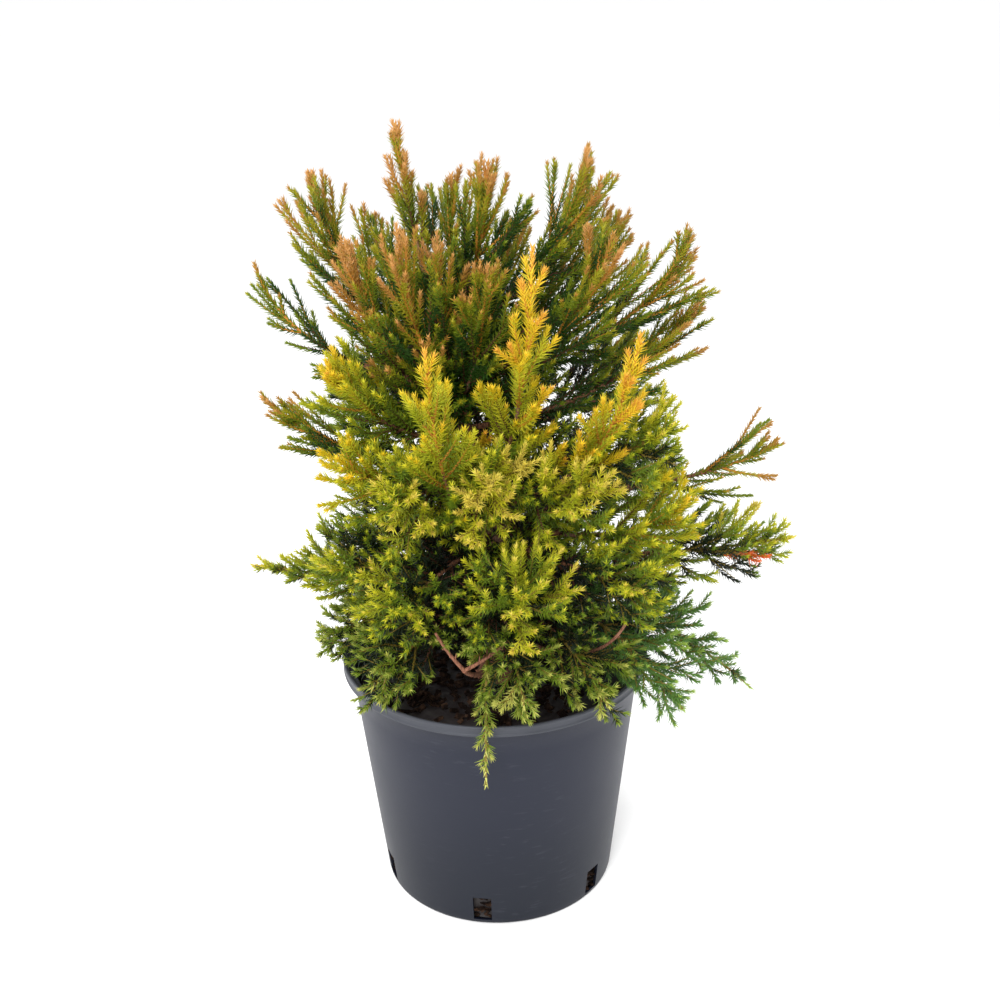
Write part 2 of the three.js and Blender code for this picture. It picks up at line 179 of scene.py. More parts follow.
def turned(radii: Array, heights: Array, azimuths: Array) -> Array:
    """A profile turned about the axis: (r cos a, r sin a, z) for each pair (r, z) and each azimuth a.

    Args:
        radii: The radius of each ring.
        heights: The height of each ring.
        azimuths: The angle of each column, in radians.

    Returns:
        The points, ring after ring.
    """
    around = np.stack([np.cos(azimuths), np.sin(azimuths), 0 * azimuths], axis=1)[None]
    rings = around * radii[:, None, None] + heights[:, None, None] * np.array([0, 0, 1.0])
    return rings.reshape(-1, 3)


@dataclass
class Surface:
    """Corners in millimetres and faces of any number of corners, grown piece by piece."""

    corners: list[Array] = field(default_factory=list)
    faces: list[Array] = field(default_factory=list)
    count: int = 0

    def add(self, corners: Array, faces: list[Array]) -> None:
        """Adds corners and the faces between them.

        Args:
            corners: The points.
            faces: Lots of faces of the same number of corners, which count from the first of these.
        """
        self.corners.append(corners.reshape(-1, 3))
        self.faces += [part + self.count for part in faces if len(part)]
        self.count += len(self.corners[-1])

    def close(self, columns: int, last: int, poles: Array) -> None:
        """Closes the first and the last ring of corners with fans of triangles.

        Args:
            columns: Corners in a ring.
            last: The first corner of the last ring.
            poles: The middle of the first fan and that of the last.
        """
        column = np.arange(columns)
        beside = (column + 1) % columns
        first = np.stack([beside, column, np.full(columns, self.count)], axis=1)
        second = np.stack([last + column, last + beside, np.full(columns, self.count + 1)], axis=1)
        self.add(poles, [first - self.count, second - self.count])

    def triangles(self) -> int:
        """How many triangles the faces come to."""
        return sum(len(part) * (part.shape[1] - 2) for part in self.faces)

    def object(
        self, name: str, finish: "Finish", smooth: bool = True, crease: float | None = None
    ) -> bpy.types.Object:
        """Makes the piece, in metres, with its place in its mesh.

        Args:
            name: Name of the object.
            finish: What it is finished with.
            smooth: Whether its faces are shaded smooth.
            crease: Degrees between two faces above which the edge between them stays sharp.

        Returns:
            The object, linked to the scene and riding on the one body.
        """
        mesh = bpy.data.meshes.new(name)
        corners = np.concatenate(self.corners).astype(np.float32) * MM
        mesh.vertices.add(len(corners))
        mesh.vertices.foreach_set("co", corners.ravel())
        loops = np.concatenate([part.ravel() for part in self.faces]).astype(np.int32)
        sizes = np.concatenate([np.full(len(part), part.shape[1]) for part in self.faces])
        mesh.loops.add(len(loops))
        mesh.loops.foreach_set("vertex_index", loops)
        mesh.polygons.add(len(sizes))
        mesh.polygons.foreach_set("loop_start", (np.cumsum(sizes) - sizes).astype(np.int32))
        mesh.polygons.foreach_set("use_smooth", np.full(len(sizes), smooth))
        mesh.update(calc_edges=True)
        mesh.validate()
        if crease is not None:
            mesh.set_sharp_from_angle(angle=math.radians(crease))
        mesh.materials.append(finish.material())
        piece = bpy.data.objects.new(name, mesh)
        bpy.context.scene.collection.objects.link(piece)
        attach(piece, BODY)
        log.info("%s: %d triangles", name, self.triangles())
        return piece


# ---- Shaders ----


def linear(colour: tuple[int, int, int]) -> Colour:
    """A colour of 0 to 255 for the screen as the light that it stands for, by the sRGB curve."""
    shares = [value / 255 for value in colour]
    return tuple(v / 12.92 if v <= 0.04045 else ((v + 0.055) / 1.055) ** 2.4 for v in shares)


def solid(colour: Colour) -> tuple[float, float, float, float]:
    """A colour with nothing of it see-through."""
    return (*colour, 1.0)


class Flow:
    """A number on its way through a shader. Arithmetic on it adds Math nodes."""

    def __init__(self, graph: "Graph", socket: Socket) -> None:
        """Wraps an output socket of a graph."""
        self.graph = graph
        self.socket = socket

    def _math(self, operation: str, first: "Flow | float", second: "Flow | float") -> "Flow":
        """A Math node of two inputs."""
        node = self.graph.node("ShaderNodeMath", {"operation": operation}, {0: first, 1: second})
        return Flow(self.graph, node.outputs[0])

    def __add__(self, other: "Flow | float") -> "Flow":
        """Self plus other."""
        return self._math("ADD", self, other)

    def __radd__(self, other: float) -> "Flow":
        """Other plus self."""
        return self._math("ADD", other, self)

    def __rsub__(self, other: float) -> "Flow":
        """Other less self."""
        return self._math("SUBTRACT", other, self)

    def __mul__(self, other: "Flow | float") -> "Flow":
        """Self times other."""
        return self._math("MULTIPLY", self, other)


class Graph:
    """The nodes of one material round a Principled shader."""

    def __init__(self, name: str, constants: dict[str, float | tuple]) -> None:
        """Makes the material.

        Args:
            name: Name of the material.
            constants: Values for the shader's own sockets.
        """
        self.material = bpy.data.materials.new(name)
        self.material.use_nodes = True
        self.tree = self.material.node_tree
        self.shader = self.tree.nodes["Principled BSDF"]
        for socket, value in constants.items():
            self.shader.inputs[socket].default_value = value
        self.place = self.node("ShaderNodeTexCoord", {}, {}).outputs["Object"]

    def node(self, kind: str, settings: dict[str, object], values: dict[int | str, object]) -> bpy.types.Node:
        """Adds a node.

        Args:
            kind: The node's type name.
            settings: Properties, set first.
            values: For each input, a value, a socket or a Flow to link.

        Returns:
            The node.
        """
        made = self.tree.nodes.new(kind)
        for key, value in settings.items():
            setattr(made, key, value)
        for key, value in values.items():
            source = value.socket if isinstance(value, Flow) else value
            if isinstance(source, Socket):
                self.tree.links.new(source, made.inputs[key])
            else:
                made.inputs[key].default_value = source
        return made

    def height(self) -> Flow:
        """How far up the object each place is, in metres."""
        return Flow(self, self.node("ShaderNodeSeparateXYZ", {}, {0: self.place}).outputs[2])

    def stretched(self, scale: Triple) -> Socket:
        """The place on the object with each axis scaled."""
        return self.node("ShaderNodeMapping", {}, {"Vector": self.place, "Scale": scale}).outputs[0]

    def noise(self, scale: float, detail: float, place: Socket | None = None) -> Flow:
        """Noise from 0 to 1 with so many waves to the metre, at a place or at that on the object."""
        values = {"Vector": place or self.place, "Scale": scale, "Detail": detail, "Roughness": 0.55}
        return Flow(self, self.node("ShaderNodeTexNoise", {}, values).outputs[0])

    def step(self, value: Flow, low: float, high: float) -> Flow:
        """0 below low, 1 above high and a smooth rise between them.

        Args:
            value: The number to step.
            low: Where the rise begins.
            high: Where it ends.

        Returns:
            The share.
        """
        values = {"Value": value, "From Min": low, "From Max": high}
        node = self.node("ShaderNodeMapRange", {"interpolation_type": "SMOOTHSTEP"}, values)
        return Flow(self, node.outputs[0])

    def mix(self, share: Flow, first: object, second: object) -> Socket:
        """The first colour blended to the second by a share."""
        node = self.node("ShaderNodeMix", {"data_type": "RGBA"}, {0: share, 6: first, 7: second})
        return node.outputs[2]

    def set(self, socket: str, source: "Flow | Socket") -> None:
        """Feeds one of the shader's sockets."""
        self.tree.links.new(source.socket if isinstance(source, Flow) else source, self.shader.inputs[socket])

    def bump(self, height: Flow, strength: float, depth: float) -> None:
        """Feeds the shader's normal from a height."""
        values = {"Height": height, "Strength": strength, "Distance": depth}
        self.set("Normal", self.node("ShaderNodeBump", {}, values).outputs[0])


@dataclass(frozen=True)
class Finish:
    """What a piece is finished with, made once and then shared."""

    name: str
    slot: str

    def material(self) -> bpy.types.Material:
        """The finish's material, made the first time that it is asked for."""
        return bpy.data.materials.get(self.name) or self.make().material

    def make(self) -> Graph:
        """Makes the nodes. Each kind of finish has its own."""
        raise NotImplementedError


@dataclass(frozen=True)
class PlainFinish(Finish):
    """One plain colour, as the tints of needles and twigs are."""

    colour: tuple[int, int, int]
    roughness: float = 0.55
    gloss: float = 0.35

    def make(self) -> Graph:
        """A base colour and a soft gloss.

        Returns:
            The finish's nodes.
        """
        colour = solid(linear(self.colour))
        constants = {"Base Color": colour, "Roughness": self.roughness, "Specular IOR Level": self.gloss}
        return Graph(self.name, constants)


@dataclass(frozen=True)
class PlasticFinish(Finish):
    """Moulded black plastic: a fine grain and faint scuffs, with a painted highlight on the rim band and
    painted shade towards the foot. Heights are in metres.

    In every finish a pair is where a step begins and ends, or the strength and depth of its relief.
    """

    # Near-black painted shade at the pot's foot, which gives way to the base colour upwards.
    clean: Colour = (0.0035, 0.0045, 0.011)
    base: Colour = (0.0095, 0.0105, 0.021)
    dusty: Colour = (0.060, 0.062, 0.078)
    # Painted highlight on the rim band.
    rubbed: Colour = (0.048, 0.050, 0.060)
    tint: Colour = (0.86, 0.93, 1.0)
    # Heights over which the painted shade at the foot gives way to the base colour.
    clean_below: Span = (0.02, 0.17)
    # Heights above which the rim band takes the painted highlight.
    rubbed_above: Span = (0.2175, 0.2195)
    scuffed: Span = (0.56, 0.78)
    clouded: Span = (0.35, 0.65)
    scuff_stretch: float = 5.0
    scuffing: float = 0.35
    roughness: float = 0.40
    roughening: float = 0.12
    grain: float = 2600.0
    wave: float = 28.0
    relief: Span = (0.25, 0.0002)

    def make(self) -> Graph:
        """Scuffs lighten the plastic, a painted highlight the rim band, and painted shade darkens its foot.

        The bump is the mould's grain.

        Returns:
            The finish's nodes.
        """
        graph = Graph(self.name, {"Specular IOR Level": 0.3, "Specular Tint": solid(self.tint), "IOR": 1.5})
        height = graph.height()
        # Painted shade: the wall is darker towards its foot.
        wall = graph.mix(graph.step(height, *self.clean_below), solid(self.clean), solid(self.base))
        # Painted highlight: the rim band is lighter than the wall.
        plastic = graph.mix(graph.step(height, *self.rubbed_above), wall, solid(self.rubbed))
        cloud = graph.noise(9.0, 4.0)
        scuffs = graph.noise(60.0, 6.0, graph.stretched((1.0, 1.0, self.scuff_stretch)))
        worn = graph.step(scuffs, *self.scuffed) * graph.step(cloud, *self.clouded)
        graph.set("Base Color", graph.mix(worn * self.scuffing, plastic, solid(self.dusty)))
        graph.set("Roughness", self.roughness + cloud * self.roughening + worn * self.roughening)
        grain = graph.noise(self.grain, 2.0)
        graph.bump(grain + graph.noise(self.wave, 2.0) * 2.0, *self.relief)
        return graph


@dataclass(frozen=True)
class BarkFinish(Finish):
    """Red-brown bark in long thin strips with darker furrows between them."""

    ridge: Colour = (0.300, 0.135, 0.072)
    furrow: Colour = (0.060, 0.026, 0.016)
    grey: Colour = (0.260, 0.190, 0.140)
    strip: float = 900.0
    strip_stretch: float = 0.12
    furrowed: Span = (0.34, 0.62)
    greyed: Span = (0.5, 0.75)
    greying: float = 0.5
    relief: Span = (0.8, 0.0006)

    def make(self) -> Graph:
        """Noise stretched upwards draws the strips, and broad noise greys them in places.

        Returns:
            The finish's nodes.
        """
        graph = Graph(self.name, {"Specular IOR Level": 0.2})
        strips = graph.noise(self.strip, 6.0, graph.stretched((1.0, 1.0, self.strip_stretch)))
        cloud = graph.noise(45.0, 3.0)
        wood = graph.mix(graph.step(strips, *self.furrowed), solid(self.furrow), solid(self.ridge))
        greyed = graph.step(cloud, *self.greyed) * self.greying
        graph.set("Base Color", graph.mix(greyed, wood, solid(self.grey)))
        graph.set("Roughness", 0.72 + strips * 0.2)
        graph.bump(strips, *self.relief)
        return graph


@dataclass(frozen=True)
class CrumbFinish(Finish):
    """Moist potting mix, or the chips of bark that lie in it, with both browns darkened as painted shade
    under the crown.
    """

    # Both browns are dark moist mix, darkened further as painted shade under the crown.
    dark: Colour = (0.004, 0.003, 0.002)
    light: Colour = (0.018, 0.010, 0.007)
    scale: float = 240.0
    lightened: Span = (0.42, 0.68)
    dampened: Span = (0.5, 0.7)
    damp_gloss: float = 0.25
    relief: Span = (0.9, 0.0012)

    def make(self) -> Graph:
        """Crumbs of two browns, with damp ones a little glossier.

        Returns:
            The finish's nodes.
        """
        graph = Graph(self.name, {"Specular IOR Level": 0.04})
        crumbs = graph.noise(self.scale, 8.0)
        brown = graph.mix(graph.step(crumbs, *self.lightened), solid(self.dark), solid(self.light))
        graph.set("Base Color", brown)
        graph.set("Roughness", 0.95 - graph.step(crumbs, *self.dampened) * self.damp_gloss)
        graph.bump(crumbs + graph.noise(self.scale * 4.0, 3.0) * 0.5, *self.relief)
        return graph


@dataclass(frozen=True)
class FloorFinish(Finish):
    """A plain pale floor."""

    pale: Colour = (0.95, 0.95, 0.95)

    def make(self) -> Graph:
        """Nearly white and dull."""
        constants = {"Base Color": solid(self.pale), "Roughness": 0.9, "Specular IOR Level": 0.1}
        return Graph(self.name, constants)


# ---- Studio and camera ----


@dataclass(frozen=True)
class Softbox:
    """A square lamp with soft edges, aimed at a height on the pot's axis."""

    name: str
    azimuth: float
    distance: float
    height: float
    size: float
    watts: float
    aim: float = 380.0

    def make(self) -> None:
        """Puts the lamp in its place."""
        light = bpy.data.lights.new(self.name, "AREA")
        light.shape = "SQUARE"
        light.size = self.size * MM
        light.energy = self.watts
        lamp = bpy.data.objects.new(self.name, light)
        bpy.context.scene.collection.objects.link(lamp)
        place = Vector(polar(self.azimuth, self.distance, self.height)) * MM
        lamp.location = place
        lamp.rotation_euler = (Vector((0, 0, self.aim * MM)) - place).to_track_quat("-Z", "Y").to_euler()


@dataclass
class Studio:
    """A pale floor under a white sky, lit from the front and both sides."""

    sky: float = 1.06
    lamps: tuple[Softbox, ...] = (
        Softbox("lamp_front", -105.0, 1900.0, 1900.0, 900.0, 48.0),
        Softbox("lamp_left", 170.0, 1700.0, 900.0, 900.0, 16.0),
        Softbox("lamp_right", 5.0, 1700.0, 900.0, 900.0, 16.0),
    )
    floor_reach: float = 30000.0
    floor_drop: float = 0.4

    def make(self) -> None:
        """Makes the floor, the sky and the lamps."""
        world = bpy.data.worlds.new("sky")
        world.use_nodes = True
        background = world.node_tree.nodes["Background"].inputs
        background["Color"].default_value = (1.0, 1.0, 1.0, 1.0)
        background["Strength"].default_value = self.sky
        bpy.context.scene.world = world
        bpy.context.scene.view_settings.view_transform = "Standard"
        for lamp in self.lamps:
            lamp.make()
        reach = self.floor_reach
        corners = np.array([[-reach, -reach, 0], [reach, -reach, 0], [reach, reach, 0], [-reach, reach, 0]])
        floor = Surface()
        floor.add(corners - np.array([0, 0, self.floor_drop]), [np.array([[0, 1, 2, 3]])])
        floor.object("floor", FloorFinish("pale_floor", "pot"), smooth=False)


@dataclass(frozen=True)
class Eye:
    """The camera, a little above the crown and looking down on it."""

    place: Triple = (7.42, -1134.67, 844.55)
    target: Triple = (7.42, 0.0, 375.04)
    roll: float = -0.0206
    lens: float = 50.0
    sensor: float = 36.0
    clip: Span = (0.01, 200.0)

    def make(self) -> None:
        """Makes the camera and takes it as the scene's own."""
        camera = bpy.data.cameras.new("camera")
        camera.lens, camera.sensor_width = self.lens, self.sensor
        camera.clip_start, camera.clip_end = self.clip
        body = bpy.data.objects.new("camera", camera)
        bpy.context.scene.collection.objects.link(body)
        forward = (Vector(self.target) - Vector(self.place)).normalized()
        right = Vector((1, 0, 0))
        up = right.cross(forward)
        across = math.cos(self.roll) * right + math.sin(self.roll) * up
        above = math.cos(self.roll) * up - math.sin(self.roll) * right
        turn = Matrix((across, above, -forward)).transposed().to_4x4()
        body.matrix_world = Matrix.Translation(Vector(self.place) * MM) @ turn
        bpy.context.scene.camera = body


# ---- Pot ----


def arc(centre: Span, radius: float, start: float, end: float, count: int) -> Array:
    """Points on a circle's arc, from one angle in degrees to another.

    Args:
        centre: The circle's middle.
        radius: Its radius.
        start: The angle of the first point.
        end: The angle of the last point.
        count: How many points.

    Returns:
        The points, one in each row.
    """
    angle = np.radians(np.linspace(start, end, count))
    return np.stack([centre[0] + radius * np.cos(angle), centre[1] + radius * np.sin(angle)], axis=1)


@dataclass
class Pot:
    """A tapered round nursery pot with a beaded rim band and drain holes at its foot."""

    height: float = 228.0
    rim_radius: float = 140.0
    rim_band: float = 10.0
    body_top_radius: float = 132.2
    base_radius: float = 108.0
    wall: float = 2.6
    floor: float = 3.2
    edge: float = 2.5
    shoulder_round: float = 1.2
    bead: float = 1.5
    channel_depth: float = 0.9
    channel: Span = (3.6, 6.0)
    lip: float = 1.6
    lip_inside: float = 0.9
    lip_inside_drop: float = 1.2
    rim_inset: float = 0.8
    shoulder_step: Span = (1.4, 0.9)
    back: tuple[Span, Span] = ((0.2, 4.5), (0.6, 3.4))
    shoulder_margin: Span = (1.0, 1.2)
    holes: int = 6
    hole_width: float = 16.5
    hole_bottom: float = 4.5
    hole_top: float = 30.5
    first_hole: float = -98.5
    hole_columns: int = 4
    gap_columns: int = 26
    hole_rows: int = 6
    floor_rings: int = 7
    outer_rings: int = 9
    inner_rings: int = 7
    crease: float = 50.0
    finish: Finish = PlasticFinish("pot_plastic", "pot")

    def shoulder(self) -> float:
        """The height at which the rim band begins."""
        return self.height - self.rim_band

    def inner_radius(self, height: float | Array) -> float | Array:
        """The inner radius of the wall below the rim."""
        return lerp(self.base_radius, self.body_top_radius, height / self.shoulder()) - self.wall

    def outer_wall(self) -> tuple[Array, int]:
        """The outside from the middle of the underside to the shoulder under the rim.

        Returns:
            Radii and heights, and the row at which the holes begin.
        """
        flat = self.base_radius - self.edge
        foot = arc((flat, self.edge), self.edge, -90, -6, 5)
        foot[:, 0] = np.minimum(foot[:, 0], self.base_radius)
        rings = np.linspace(0, flat, self.floor_rings + 1)[:-1]
        under = np.stack([rings, np.zeros(self.floor_rings)], axis=1)
        holes = np.linspace(self.hole_bottom, self.hole_top, self.hole_rows)
        above = np.linspace(self.hole_top, self.shoulder() - self.shoulder_margin[0], self.outer_rings)[1:]
        heights = np.concatenate([holes, above])
        radii = lerp(self.base_radius, self.body_top_radius, heights / self.shoulder())
        wall = np.stack([radii, heights], axis=1)
        return np.concatenate([under, foot, wall]), len(under) + len(foot)

    def rim(self) -> Array:
        """The rim band: a bead at its foot, a shallow channel, and a bead at the lip.

        Returns:
            Radii and heights.
        """
        shoulder, edge, top = self.shoulder(), self.rim_radius, self.height
        round_off, bead, lip, lip_inside = self.shoulder_round, self.bead, self.lip, self.lip_inside
        out, down = self.shoulder_step
        step = arc((self.body_top_radius + out, shoulder - down), round_off, 170, 100, 4)
        low_bead = arc((edge - bead, shoulder + bead), bead, -100, 60, 7)
        channel = np.array([[edge - self.channel_depth, shoulder + height] for height in self.channel])
        outer_lip = arc((edge - lip, top - lip), lip, -30, 100, 8)
        inside = edge - self.wall - self.rim_inset
        inner_lip = arc((inside + lip_inside, top - self.lip_inside_drop), lip_inside, 110, 190, 4)
        back = np.array([[inside - inwards, shoulder + height] for inwards, height in self.back])
        return np.concatenate([step, low_bead, channel, outer_lip, inner_lip, back])

    def inner_wall(self) -> Array:
        """The inside from the rim down to the middle of the floor.

        Returns:
            Radii and heights.
        """
        above = np.linspace(self.shoulder() + self.shoulder_margin[1], self.hole_top, self.inner_rings)[:-1]
        heights = np.concatenate([above, np.linspace(self.hole_top, self.hole_bottom, self.hole_rows)])
        wall = np.stack([self.inner_radius(heights), heights], axis=1)
        rings = np.linspace(self.inner_radius(self.floor), 0, self.floor_rings)
        bottom = np.stack([rings, np.full(self.floor_rings, self.floor)], axis=1)
        return np.concatenate([wall, bottom])

    def columns(self) -> tuple[Array, Array]:
        """The columns of the grid, of which some lie across a hole.

        Returns:
            The azimuth of each column in degrees, and the first column of each hole.
        """
        half = math.degrees(math.asin(self.hole_width / 2 / self.base_radius))
        pitch = 360.0 / self.holes
        across = np.linspace(-half, half, self.hole_columns + 1)
        between = np.linspace(half, pitch - half, self.gap_columns + 1)[1:-1]
        one = np.concatenate([across, between])
        azimuths = (self.first_hole + pitch * np.arange(self.holes)[:, None] + one[None, :]).ravel()
        return azimuths, np.arange(self.holes) * len(one)

    def build(self) -> None:
        """Turns the profile about the axis, leaves the holes out and walls them."""
        outer, hole_row = self.outer_wall()
        profile = np.concatenate([outer, self.rim(), self.inner_wall()])
        inner_row = len(profile) - self.floor_rings - self.hole_rows
        azimuths, starts = self.columns()
        rows, wide = len(profile) - 2, len(azimuths)
        quads = grid_faces(rows, wide, True)
        row, column = quads[:, 0] // wide, quads[:, 0] % wide
        in_hole = np.zeros(wide, bool)
        in_hole[(starts[:, None] + np.arange(self.hole_columns)[None, :]).ravel()] = True
        outside, inside = hole_row - 1, inner_row - 1
        reach = self.hole_rows - 1
        open_row = ((row >= outside) & (row < outside + reach)) | ((row >= inside) & (row < inside + reach))
        quads = quads[~(open_row & in_hole[column])]
        surface = Surface()
        points = turned(profile[1:-1, 0], profile[1:-1, 1], np.radians(azimuths))
        surface.add(points, [quads, self.tunnels(starts, outside, inside, wide)])
        surface.close(wide, (rows - 1) * wide, np.array([[0, 0, profile[0, 1]], [0, 0, profile[-1, 1]]]))
        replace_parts(surface.object("nursery_pot", self.finish, crease=self.crease), "pot")

    def tunnels(self, starts: Array, outside: int, inside: int, wide: int) -> Array:
        """The walls of the holes, as quads between the outer and the inner grid.

        Args:
            starts: First column of each hole.
            outside: Row of the holes' foot on the outer wall.
            inside: Row of the holes' head on the inner wall.
            wide: Columns of the grid.

        Returns:
            Four corners for each quad.
        """
        reach = self.hole_rows - 1
        step = np.arange(reach)[None, :]
        quads = []
        for shift, flip in ((0, False), (self.hole_columns, True)):
            column = (starts + shift)[:, None]
            out_low, in_low = (outside + step) * wide + column, (inside + reach - step) * wide + column
            wall = [out_low, in_low, in_low - wide, out_low + wide]
            quads.append(np.stack(wall[::-1] if flip else wall, axis=-1).reshape(-1, 4))
        column = starts[:, None] + np.arange(self.hole_columns)[None, :]
        for out_row, in_row, flip in ((outside, inside + reach, False), (outside + reach, inside, True)):
            out_first, in_first = out_row * wide + column, in_row * wide + column
            wall = [out_first, out_first + 1, in_first + 1, in_first]
            quads.append(np.stack(wall[::-1] if flip else wall, axis=-1).reshape(-1, 4))
        return np.concatenate(quads)


@dataclass
class PottingMix:
    """Moist bark and peat that fills the pot, with loose chips on top."""

    pot: Pot
    level: float = 200.0
    rim_level: float = 196.0
    crown: float = 203.0
    crown_at: float = 0.72
    flat_radius: float = 32.0
    foot: float = 3.6
    clearance: float = 0.7
    innermost: float = 1.0
    foot_inset: float = 1.0
    side_drop: float = 1.0
    relief: float = 3.2
    side_share: float = 110.0
    lumps: tuple[tuple[float, float, int], ...] = ((0.5, 14, 1), (0.3, 5, 2), (0.2, 2.2, 3))
    floor_rings: int = 8
    side_rings: int = 30
    top_rings: int = 60
    columns: int = 160
    chips: int = 520
    chip_spread: Span = (0.02, 1.0)
    chip_lift: float = 2.4
    chip_margin: float = 9.0
    chip_length: Span = (2.5, 8.0)
    chip_width: Span = (1.5, 4.0)
    chip_thickness: Span = (0.7, 2.0)
    chip_tilt: float = 0.35
    chip_wear: Span = (0.6, 1.05)
    hole_chips: int = 26
    hole_chip_scale: float = 0.62
    hole_chip_sweep: float = 4.6
    hole_chip_depth: Span = (0.8, 3.2)
    finish: Finish = CrumbFinish("potting_mix", "potting_mix")
    # The chips' browns are darkened as painted shade too.
    chip_finish: Finish = CrumbFinish(
        "bark_chips", "potting_mix", dark=(0.008, 0.005, 0.004), light=(0.050, 0.027, 0.017), scale=120.0
    )

    def top(self, radius: Array) -> Array:
        """The height of the mix: level in the middle, crowned, and lower at the wall.

        Args:
            radius: The radii at which it is wanted.

        Returns:
            A height for each radius.
        """
        crown_radius = self.pot.inner_radius(self.level) * self.crown_at
        radii = [0, self.flat_radius, crown_radius, self.pot.inner_radius(self.rim_level)]
        return np.interp(radius, radii, [self.level, self.level, self.crown, self.rim_level])

    def build(self) -> None:
        """Makes the body of the mix and the chips that lie on it."""
        self.body()
        self.loose_chips()

    def body(self) -> None:
        """Makes a closed round body: a bumpy top, sides that follow the pot and a flat underside.

        The top rises by the relief times noise of three sizes, and the sides lie back by the same noise.
        """
        inner = self.pot.inner_radius
        top_radii = np.linspace(inner(self.rim_level) - self.clearance, self.innermost, self.top_rings)
        side_heights = np.linspace(self.foot, self.rim_level - self.side_drop, self.side_rings)
        bottom_radii = np.linspace(self.innermost, inner(self.foot) - self.foot_inset, self.floor_rings)
        radii = np.concatenate([bottom_radii, inner(side_heights) - self.clearance, top_radii])
        heights = np.concatenate([np.full(self.floor_rings, self.foot), side_heights, self.top(top_radii)])
        place = turned(radii, heights, np.linspace(0, 2 * np.pi, self.columns, endpoint=False))
        noise = sum(weight * lattice_noise(place, cell, seed) for weight, cell, seed in self.lumps)
        ring = np.repeat(np.arange(len(radii)), self.columns)
        on_top = ring >= self.floor_rings + self.side_rings
        on_side = (ring >= self.floor_rings) & ~on_top
        place[:, 2] += np.where(on_top, (noise - 0.5) * 2 * self.relief, 0)
        place[:, :2] *= np.where(on_side, 1 - noise * self.relief / self.side_share, 1)[:, None]
        surface = Surface()
        surface.add(place, [grid_faces(len(radii), self.columns, True)])
        last = (len(radii) - 1) * self.columns
        surface.close(self.columns, last, np.array([[0, 0, self.foot], [0, 0, place[last:, 2].mean()]]))
        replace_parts(surface.object("potting_mix_body", self.finish), "potting_mix")

    def loose_chips(self) -> None:
        """Makes chips of bark with uneven corners, laid on the top and packed behind the drain holes."""
        rng = np.random.default_rng(Seed.CHIPS)
        radius = np.sqrt(rng.uniform(*self.chip_spread, self.chips))
        radius *= self.pot.inner_radius(self.rim_level) - self.chip_margin
        angle = rng.uniform(0, 2 * np.pi, self.chips)
        height = self.top(radius) + rng.uniform(0, self.chip_lift, self.chips)
        surface = Surface()
        surface.add(*self.chip_bodies(radius, angle, height, 1.0, rng))
        behind = np.repeat(np.arange(self.pot.holes), self.hole_chips)
        azimuth = self.pot.first_hole + behind * 360.0 / self.pot.holes
        azimuth += rng.uniform(-self.hole_chip_sweep, self.hole_chip_sweep, len(behind))
        height = rng.uniform(self.pot.hole_bottom, self.pot.hole_top, len(behind))
        radius = self.pot.inner_radius(height) - rng.uniform(*self.hole_chip_depth, len(behind))
        surface.add(*self.chip_bodies(radius, np.radians(azimuth), height, self.hole_chip_scale, rng))
        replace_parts(surface.object("bark_chips", self.chip_finish, smooth=False), "potting_mix")

    def chip_bodies(
        self, radius: Array, angle: Array, height: Array, scale: float, rng: np.random.Generator
    ) -> Shape:
        """A box with uneven corners at each place, turned at random.

        Args:
            radius: How far from the axis each chip lies.
            angle: The direction from the axis to it, in radians.
            height: How high it lies.
            scale: How large the chips are, 1 for those on the top.
            rng: The source of random numbers.

        Returns:
            The corners, and the faces between them.
        """
        count = len(radius)
        centres = np.stack([radius * np.cos(angle), radius * np.sin(angle), height], axis=1)
        ranges = (self.chip_length, self.chip_width, self.chip_thickness)
        size = np.stack([rng.uniform(*span, count) for span in ranges], axis=1)
        signs = np.array([[x, y, z] for z in (-1, 1) for x, y in ((-1, -1), (1, -1), (1, 1), (-1, 1))], float)
        corners = signs[None] * size[:, None] * scale * rng.uniform(*self.chip_wear, (count, 8, 3))
        yaw = rng.uniform(0, 2 * np.pi, count)
        pitch, roll = rng.normal(0, self.chip_tilt, count), rng.normal(0, self.chip_tilt, count)
        for turn, (first, second) in ((roll, (1, 2)), (pitch, (0, 2)), (yaw, (0, 1))):
            a, b = corners[..., first].copy(), corners[..., second].copy()
            cos, sin = np.cos(turn)[:, None], np.sin(turn)[:, None]
            corners[..., first], corners[..., second] = a * cos - b * sin, a * sin + b * cos
        box = np.array([[3, 2, 1, 0], [4, 5, 6, 7], [0, 1, 5, 4], [1, 2, 6, 5], [2, 3, 7, 6], [3, 0, 4, 7]])
        faces = (np.arange(count)[:, None, None] * 8 + box[None]).reshape(-1, 4)
        return corners + centres[:, None], [faces]


# ---- The plant's rule ----


@dataclass(frozen=True)
class TrunkRule:
    """The trunk's axis and radius, as in the solids."""

    foot: float = 200.0
    top: float = 560.0
    lean: float = -48.0
    lean_back: float = 4.0
    collar_radius: float = 10.5
    top_radius: float = 3.0
    flare: float = 8.5
    flare_height: float = 12.0

    def axis(self, height: float | Array) -> Array:
        """The point of the axis at a height. It leans over with the square of its height.

        Args:
            height: One height or many.

        Returns:
            A point for each height.
        """
        share = (np.asarray(height, float) - self.foot) / (self.top - self.foot)
        square = share * share
        return np.stack([self.lean * square, self.lean_back * square, share * 0 + height], axis=-1)

    def radius(self, height: float | Array) -> Array:
        """A straight taper, and a flare that dies out upwards by an exponential.

        Args:
            height: One height or many.

        Returns:
            A radius for each height.
        """
        share = np.clip((np.asarray(height, float) - self.foot) / (self.top - self.foot), 0, 1)
        flare = self.flare * np.exp(-np.maximum(0, height - self.foot) / self.flare_height)
        return lerp(self.collar_radius, self.top_radius, share) + flare


